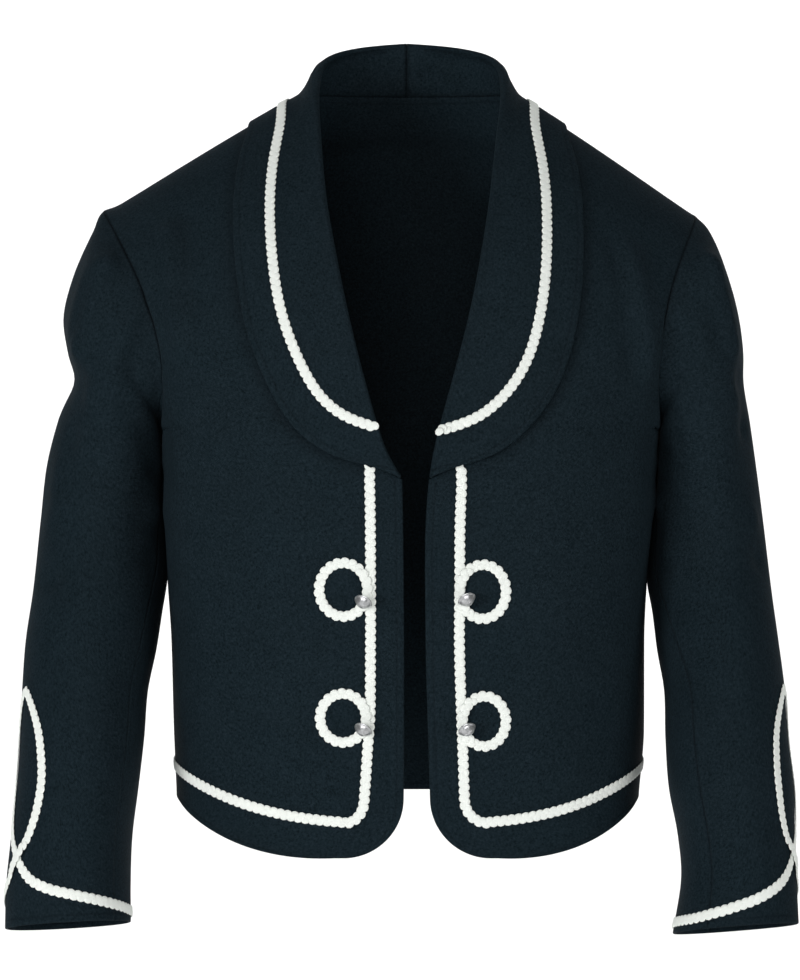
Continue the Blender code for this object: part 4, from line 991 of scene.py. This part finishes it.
CUFF_BRAID = table(
    "degrees height",
    (170.0, 0.0082),
    (120.0, 0.0085),
    (88.0, 0.0115),
    (62.0, 0.0165),
    (40.0, 0.0232),
    (19.0, 0.0335),
    (0.0, 0.0515),
    (-14.0, 0.0690),
    (-22.0, 0.0910),
    (-25.0, 0.1150),
    (-23.0, 0.1400),
    (-15.0, 0.1660),
    (0.0, 0.1840),
)
CROSSING_HEIGHT = 0.0515
CROSSING_LIFT = 0.0018
CROSSING_REACH = 0.0130


def hem_line(grid):
    """Line of a body piece that runs one braid inset above its hem."""
    rises = body_levels()[0] - HEM_FRONT_Z
    row = int(np.searchsorted(rises, BRAID_INSET)) - 1
    share = (BRAID_INSET - rises[row]) / (rises[row + 1] - rises[row])
    return grid[row] * (1.0 - share) + grid[row + 1] * share


def front_braid_line(side):
    """Down the front from the collar, round the lower corner and along the hem to the side seam."""
    sign = SIDES[side]
    corner_z = HEM_FRONT_Z + CORNER_RADIUS
    heights = np.linspace(FRONT_BRAID_TOP_Z[side], corner_z, FRONT_BRAID_POINTS)
    down = edge_points(side, np.minimum(heights, FRONT_BRAID_STRAIGHT_Z))
    down[:, 0] += sign * along(FRONT_BRAID_INSET, side, heights)
    down[:, 2] = heights
    centre = edge_points(side, corner_z)[0] + (sign * CORNER_RADIUS, 0.0, 0.0)
    turn = 0.5 * math.pi * np.linspace(0.0, 1.0, CORNER_POINTS)[1:-1]
    reach = sign * (CORNER_RADIUS - float(along(FRONT_BRAID_INSET, side, corner_z)))
    drop = CORNER_RADIUS - BRAID_INSET
    corner = centre - np.stack([reach * np.cos(turn), turn * 0.0, drop * np.sin(turn)], axis=1)
    hem = hem_line(cloth["front_" + side])
    hem = hem[sign * hem[:, 0] > sign * centre[0] + CORNER_GAP]
    return even(np.concatenate([down, corner, hem]), step=BRAID_STEP)


def loop_line(loop):
    """A whole ring whose inner side lies over the front braid, with its lift there."""
    turn = LOOP_JOIN + np.linspace(0.0, 2.0 * math.pi, LOOP_POINTS)
    ring = edge_points(loop.side, loop.z + loop.half_height * np.sin(turn))
    ring[:, 0] = SIDES[loop.side] * (loop.x - loop.half_width * np.cos(turn))
    ring = even(ring, step=BRAID_STEP)
    inward = (loop.x - np.abs(ring[:, 0])) / loop.half_width
    return ring, LOOP_LIFT * straight(LOOP_OVER, inward)


def collar_braid_line(side):
    """Parallel to the collar's outer edge, from the roll at its lower end to the centre back."""
    face, normals = collars[side]
    surface = surface_of((face, normals))
    ahead = np.gradient(face[:, -1], axis=0)
    roll_top = STAND_STEPS + ROLL_STEPS // 2
    falls = np.linalg.norm(np.diff(face[:, roll_top:], axis=1), axis=2).sum(axis=1)
    line = []
    for i in np.flatnonzero(falls > COLLAR_BRAID_INSET + COLLAR_BRAID_FREE):
        start, normal, run = face[i, -1], normals[i, -1], ahead[i]
        inward = unit(np.cross(normal, run) * SIDES[side])
        point = start
        for _ in range(COLLAR_BRAID_STEPS):
            point, normal, _ = seat(surface, point + inward * (COLLAR_BRAID_INSET / COLLAR_BRAID_STEPS))
            inward = unit(inward - normal * np.dot(inward, normal))
        line.append(point)
    run_on = unit(line[0] - line[1]) * COLLAR_BRAID_RUN_ON[side]
    return np.array([line[0] + run_on] + line)


def cuff_point(grid, degrees, height):
    """Point of a sleeve at an angle from its outer line and a height above the cuff's edge."""
    place = (degrees / 360.0 * RING_COLUMNS) % RING_COLUMNS
    column = int(place)
    pair = []
    for c in (column % RING_COLUMNS, (column + 1) % RING_COLUMNS):
        line = grid[::-1, c]
        lengths = run_lengths(line)
        pair.append(np.array([np.interp(height, lengths, line[:, axis]) for axis in range(3)]))
    return pair[0] * (1.0 - place + column) + pair[1] * (place - column)


def cuff_braid_line(side):
    """Along the cuff, up over the crossing, round the loop, down and along to the start."""
    there = [tuple(row) for row in CUFF_BRAID]
    back = [(-row.degrees, row.height) for row in CUFF_BRAID[-2:0:-1]]
    meeting = [(CUFF_BRAID[0].degrees - 360.0, CUFF_BRAID[0].height)]
    turns = [(place, *row) for place, row in enumerate(there + back + meeting)]
    path = table("place degrees height", *turns)
    places = np.linspace(0.0, path[-1].place, CUFF_POINTS)
    heights = along(path, "height", places)
    axis = CUFF_AXES[side]
    rise = CUFF_BRAID[-1].height - CROSSING_HEIGHT
    share = np.clip((heights - CROSSING_HEIGHT) / rise, 0.0, 1.0)
    degrees = axis.crossing + (axis.top - axis.crossing) * share + along(path, "degrees", places)
    grid = cloth["sleeve_" + side]
    return even([cuff_point(grid, d, h) for d, h in zip(degrees, heights)], step=BRAID_STEP)


def crossing_lifts(side, line):
    """Lift of the later stretch of a cuff braid where it passes over the earlier one."""
    crossing = cuff_point(cloth["sleeve_" + side], CUFF_AXES[side].crossing, CROSSING_HEIGHT)
    off = np.linalg.norm(line - crossing, axis=1)
    later = np.arange(len(line)) * 2 > len(line)
    return np.where(later, CROSSING_LIFT * np.exp(-((off / CROSSING_REACH) ** 4)), 0.0)


def braid_finish():
    finish = Finish("gimp_braid")
    thread = finish.noise(THREAD_SCALE, detail=2.0)
    cloud = finish.noise(BRAID_CLOUD_SCALE, detail=3.0)
    finish.surface(
        Base_Color=finish.mix(thread * 0.6 + cloud * 0.5, BRAID_DARK, BRAID_LIGHT),
        Normal=finish.relief(thread, 0.5, THREAD_HEIGHT),
        Roughness=0.75 + cloud * 0.15,
        Specular_IOR_Level=0.25,
    )
    return finish.material


def lobe_tree(inputs):
    """Node tree that sets small rounded lobes along a line laid on the cloth, swaying from side to side."""
    tree = bpy.data.node_groups.new("laid_lobes", "GeometryNodeTree")
    for way in ("INPUT", "OUTPUT"):
        tree.interface.new_socket("Geometry", in_out=way, socket_type="NodeSocketGeometry")
    kinds = {float: "NodeSocketFloat", int: "NodeSocketInt", bpy.types.Material: "NodeSocketMaterial"}
    for name, value in inputs.items():
        tree.interface.new_socket(name, in_out="INPUT", socket_type=kinds[type(value)])
    nodes = Nodes(tree)
    given = nodes.add("NodeGroupInput")
    spacing = {"Curve": nodes.add("GeometryNodeMeshToCurve", {0: given}), "Length": given.other("Pitch")}
    spots = nodes.add("GeometryNodeCurveToPoints", spacing, mode="LENGTH")
    run = spots.other("Tangent")
    facing = nodes.add("GeometryNodeInputNamedAttribute", {"Name": "facing"}, data_type="FLOAT_VECTOR")
    side = nodes.add("GeometryNodeInputIndex").math("MODULO", 2.0) * 2.0 - 1.0
    aside = nodes.add("ShaderNodeVectorMath", {0: facing, 1: run}, operation="CROSS_PRODUCT")
    sway = {0: aside, "Scale": side * given.other("Sway")}
    shift = nodes.add("ShaderNodeVectorMath", sway, operation="SCALE")
    placed = nodes.add("GeometryNodeSetPosition", {"Geometry": spots, "Offset": shift})
    axes = {"primary_axis": "Z", "secondary_axis": "X"}
    flat = nodes.add("FunctionNodeAxesToRotation", {0: facing, 1: run}, **axes)
    turn = {"Axis": (0.0, 0.0, 1.0), "Angle": side * given.other("Turn")}
    spin = nodes.add("FunctionNodeAxisAngleToRotation", turn)
    turned = nodes.add("FunctionNodeRotateRotation", {0: flat, 1: spin}, rotation_space="LOCAL")
    ball = {"Segments": given.other("Segments"), "Rings": given.other("Rings"), "Radius": 1.0}
    halves = enumerate(("Half length", "Half width", "Half height"))
    size = nodes.add("ShaderNodeCombineXYZ", {axis: given.other(name) for axis, name in halves})
    lobe = {"Geometry": nodes.add("GeometryNodeMeshUVSphere", ball), "Scale": size}
    soft = nodes.add("GeometryNodeSetShadeSmooth", {"Geometry": nodes.add("GeometryNodeTransform", lobe)})
    laid = {"Points": placed, "Instance": soft, "Rotation": turned}
    real = nodes.add("GeometryNodeRealizeInstances", {0: nodes.add("GeometryNodeInstanceOnPoints", laid)})
    done = nodes.add("GeometryNodeSetMaterial", {"Geometry": real, "Material": given.other("Material")})
    nodes.fill(tree.nodes.new("NodeGroupOutput").inputs[0], done)
    return tree


braid_inputs = {**BRAID_SIZES, "Material": braid_finish()}
laid_lobes = lobe_tree(braid_inputs)


def lay_braid(node, line, surface, lifts=0.0):
    """Lobes along a line laid on the cloth, lifted where the braid passes over another."""
    places, facing, _ = map(np.array, zip(*(seat(surface, point) for point in line)))
    facing = averaged(facing, BRAID_EASE)
    points = places + facing * np.broadcast_to(BRAID_RISE + lifts, len(line))[:, None]
    path = bpy.data.meshes.new("gimp_" + node)
    path.from_pydata(points.tolist(), [(k, k + 1) for k in range(len(line) - 1)], [])
    path.attributes.new("facing", "FLOAT_VECTOR", "POINT").data.foreach_set("vector", facing.ravel())
    piece = add_object("gimp_" + node, path)
    laid = piece.modifiers.new("laid", "NODES")
    laid.node_group = laid_lobes
    for item in laid_lobes.interface.items_tree:
        if item.name in braid_inputs:
            laid[item.identifier] = braid_inputs[item.name]
    graph = bpy.context.evaluated_depsgraph_get()
    lobes = bpy.data.meshes.new_from_object(piece.evaluated_get(graph))
    piece.modifiers.clear()
    piece.data = lobes
    bpy.data.meshes.remove(path)
    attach(piece, "root")
    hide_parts(node)


collar_lines = {side: collar_braid_line(side) for side in SIDES}
around = even(np.concatenate([collar_lines["right"], collar_lines["left"][-2::-1]]), step=BRAID_STEP)
ease(around, COLLAR_BRAID_PASSES)
lay_braid("braid_collar", around, surface_of(*collars.values()))
front_surfaces = {}
for side in SIDES:
    name = "front_" + side
    front_surfaces[side] = surface_of((cloth[name], cloth_normals[name]))
    lay_braid("braid_front_" + side, front_braid_line(side), front_surfaces[side])
for loop in LOOPS:
    ring, lifts = loop_line(loop)
    lay_braid("braid_loop_" + loop.name, ring, front_surfaces[loop.side], lifts)
back_surface = surface_of((cloth["back"], cloth_normals["back"]))
lay_braid("braid_back_hem", even(hem_line(cloth["back"]), step=BRAID_STEP), back_surface)
around_ring = list(range(RING_COLUMNS)) + [0]
for side in SIDES:
    name = "sleeve_" + side
    arm_surface = surface_of((cloth[name][:, around_ring], cloth_normals[name][:, around_ring]))
    line = cuff_braid_line(side)
    lay_braid("braid_cuff_" + side, line, arm_surface, crossing_lifts(side, line))

# Buttons: silver buttons with a low dome and a thin rim, each on a short thread shank that is sewn through
# the inner side of its loop, where the front braid runs. They droop down and a little outwards.
BUTTON_TILT = math.radians(52)
BUTTON_DROOP = (0.45, 0.89)
BUTTON_LIFT = 0.0074
BUTTON_STEPS = 60
FLUTES = 8
SHANK_RADIUS = 0.0013
SHANK_OVERLAP = 0.0008
SILVER_DARK = (0.54, 0.55, 0.56, 1.0)
SILVER_LIGHT = (0.84, 0.85, 0.86, 1.0)
TARNISH_SCALE = 260.0
SCRATCH_SCALE = 2200.0
SCRATCH_DEPTH = 0.0001
BUTTON_PROFILE = table(
    "radius height flute",
    (0.0000, 0.0080, 0.00000),
    (0.0012, 0.0079, 0.00000),
    (0.0024, 0.0075, 0.00003),
    (0.0035, 0.0068, 0.00006),
    (0.0045, 0.0059, 0.00009),
    (0.0053, 0.0049, 0.00009),
    (0.0058, 0.0040, 0.00005),
    (0.0060, 0.0034, 0.00000),
    (0.0064, 0.0033, 0.00000),
    (0.0068, 0.0031, 0.00000),
    (0.0071, 0.0026, 0.00000),
    (0.0068, 0.0021, 0.00000),
    (0.0060, 0.0018, 0.00000),
    (0.0030, 0.0013, 0.00000),
    (SHANK_RADIUS, 0.0011, 0.00000),
    (SHANK_RADIUS, -0.0003, 0.00000),
    (0.0000, -0.0004, 0.00000),
)


def silver_finish():
    finish = Finish("silver")
    tarnish = finish.noise(TARNISH_SCALE, detail=3.0)
    scratch = finish.noise(SCRATCH_SCALE, detail=2.0)
    finish.surface(
        Base_Color=finish.mix(tarnish, SILVER_DARK, SILVER_LIGHT),
        Metallic=1.0,
        Roughness=0.34 + tarnish * 0.16,
        Normal=finish.relief(scratch, 0.05, SCRATCH_DEPTH),
    )
    return finish.material


silver = silver_finish()
turns = 2.0 * math.pi * np.arange(BUTTON_STEPS) / BUTTON_STEPS


def level_ring(radius, heights):
    heights = np.broadcast_to(heights, BUTTON_STEPS)
    return np.stack([radius * np.cos(turns), radius * np.sin(turns), heights], axis=1).tolist()


def standing(place, direction):
    """Moves a form that stands at the origin to a place, pointing in a direction."""
    turn = Vector((0.0, 0.0, 1.0)).rotation_difference(Vector(direction))
    return Matrix.Translation(place) @ turn.to_matrix().to_4x4()


head = [(0.0, 0.0, BUTTON_PROFILE[0].height)]
for spot in BUTTON_PROFILE[1:-1]:
    head += level_ring(spot.radius, spot.height + spot.flute * np.cos(FLUTES * turns))
head.append((0.0, 0.0, BUTTON_PROFILE[-1].height))
shank = level_ring(SHANK_RADIUS, SEAM_GAP) + level_ring(SHANK_RADIUS, BUTTON_LIFT + SHANK_OVERLAP)
rings = np.arange(1, len(head) - 1).reshape(-1, BUTTON_STEPS)
after = np.roll(rings, -1, axis=1)
button_faces = np.stack([rings[:-1], rings[1:], after[1:], after[:-1]], axis=-1).reshape(-1, 4).tolist()
button_faces += [(0, *pair) for pair in zip(rings[0].tolist(), after[0].tolist())]
button_faces += [(len(head) - 1, *pair) for pair in zip(after[-1].tolist(), rings[-1].tolist())]
foot = len(head) + np.arange(BUTTON_STEPS)
tip = foot + BUTTON_STEPS
button_faces += np.stack([foot, np.roll(foot, -1), np.roll(tip, -1), tip], axis=1).tolist()
button_faces += [foot[::-1].tolist(), tip.tolist()]
for loop in LOOPS:
    sign = SIDES[loop.side]
    guess = edge_points(loop.side, loop.z - loop.button_down)[0]
    guess[0] = sign * (loop.x - loop.button_in)
    place, normal, _ = seat(front_surfaces[loop.side], guess)
    outward, down = BUTTON_DROOP
    droop = np.array((sign * outward, 0.0, -down))
    tilted = normal * math.cos(BUTTON_TILT) + droop * math.sin(BUTTON_TILT)
    points = [standing(place + normal * BUTTON_LIFT, tilted) @ Vector(p) for p in head]
    points += [standing(place, normal) @ Vector(p) for p in shank]
    mesh = bpy.data.meshes.new("silver_button_" + loop.name)
    mesh.from_pydata(points, [], button_faces)
    mesh.materials.append(silver)
    mesh.shade_smooth()
    button = add_object("silver_button_" + loop.name, mesh)
    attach(button, "root")
    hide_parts("button_" + loop.name)

# Studio: a pale floor that curves up into a pale wall, broad soft lights, a card of light that shows in
# the silver alone, and the camera at the photo's distance and height.
FLOOR_Z = -1.45
FLOOR_HALF = 6.0
WALL_Y = 4.0
WALL_TOP = 5.0
BEND = 1.6
BEND_POINTS = 25
PALE = (0.90, 0.90, 0.90, 1.0)
SKY_STRENGTH = 0.13
MIDDLE_Z = -0.3
SENSOR = 24.0
CAMERA_X = -0.0056
CAMERA_AWAY = 2.8
CAMERA_Z = -0.312
PHOTO_SCALE = 1250.0
PHOTO_HEIGHT = 980.0
LIGHTS = table(
    "name x y z size power",
    ("key", -2.4, -2.5, -0.30, 1.4, 63.0),
    ("fill", 2.8, -1.9, -0.40, 1.4, 34.0),
    ("front", -0.4, -3.5, -0.10, 1.4, 22.0),
    ("back_wall", 0.0, 1.9, 2.4, 2.5, 135.0),
    ("silver_card", -0.3, -2.0, 0.80, 1.8, 44.0),
)
turn = 0.5 * math.pi * np.linspace(0.0, 1.0, BEND_POINTS)
profile = [(-FLOOR_HALF, FLOOR_Z)]
profile += [(WALL_Y - BEND + BEND * math.sin(a), FLOOR_Z + BEND * (1.0 - math.cos(a))) for a in turn]
profile += [(WALL_Y, WALL_TOP)]
points = [(x, y, z) for y, z in profile for x in (-FLOOR_HALF, FLOOR_HALF)]
faces = [(2 * k, 2 * k + 1, 2 * k + 3, 2 * k + 2) for k in range(len(profile) - 1)]
mesh = bpy.data.meshes.new("studio_floor")
mesh.from_pydata(points, [], faces)
mesh.shade_smooth()
pale = Finish("studio_pale")
pale.surface(Base_Color=PALE, Roughness=0.9)
mesh.materials.append(pale.material)
floor = add_object("studio_floor", mesh)

world = bpy.data.worlds.new("studio")
bpy.context.scene.world = world
world.use_nodes = True
sky = world.node_tree.nodes["Background"]
sky.inputs["Color"].default_value = (1.0, 1.0, 1.0, 1.0)
sky.inputs["Strength"].default_value = SKY_STRENGTH
for light in LIGHTS:
    lamp = bpy.data.lights.new(light.name, "AREA")
    lamp.size = light.size
    lamp.energy = light.power
    holder = add_object(light.name, lamp)
    holder.location = (light.x, light.y, light.z)
    holder.visible_diffuse = light.name != "silver_card"
    holder.visible_glossy = light.name == "silver_card"
    target = Vector((0.0, WALL_Y if light.name == "back_wall" else 0.0, MIDDLE_Z))
    holder.rotation_euler = (target - holder.location).to_track_quat("-Z", "Y").to_euler()

view = bpy.data.cameras.new("camera")
view.sensor_fit = "VERTICAL"
view.sensor_height = SENSOR
view.lens = SENSOR * CAMERA_AWAY * PHOTO_SCALE / PHOTO_HEIGHT
camera = add_object("camera", view)
camera.location = (CAMERA_X, -CAMERA_AWAY, CAMERA_Z)
camera.rotation_euler = (0.5 * math.pi, 0.0, 0.0)
bpy.context.scene.camera = camera
bpy.context.scene.view_settings.view_transform = "Standard"
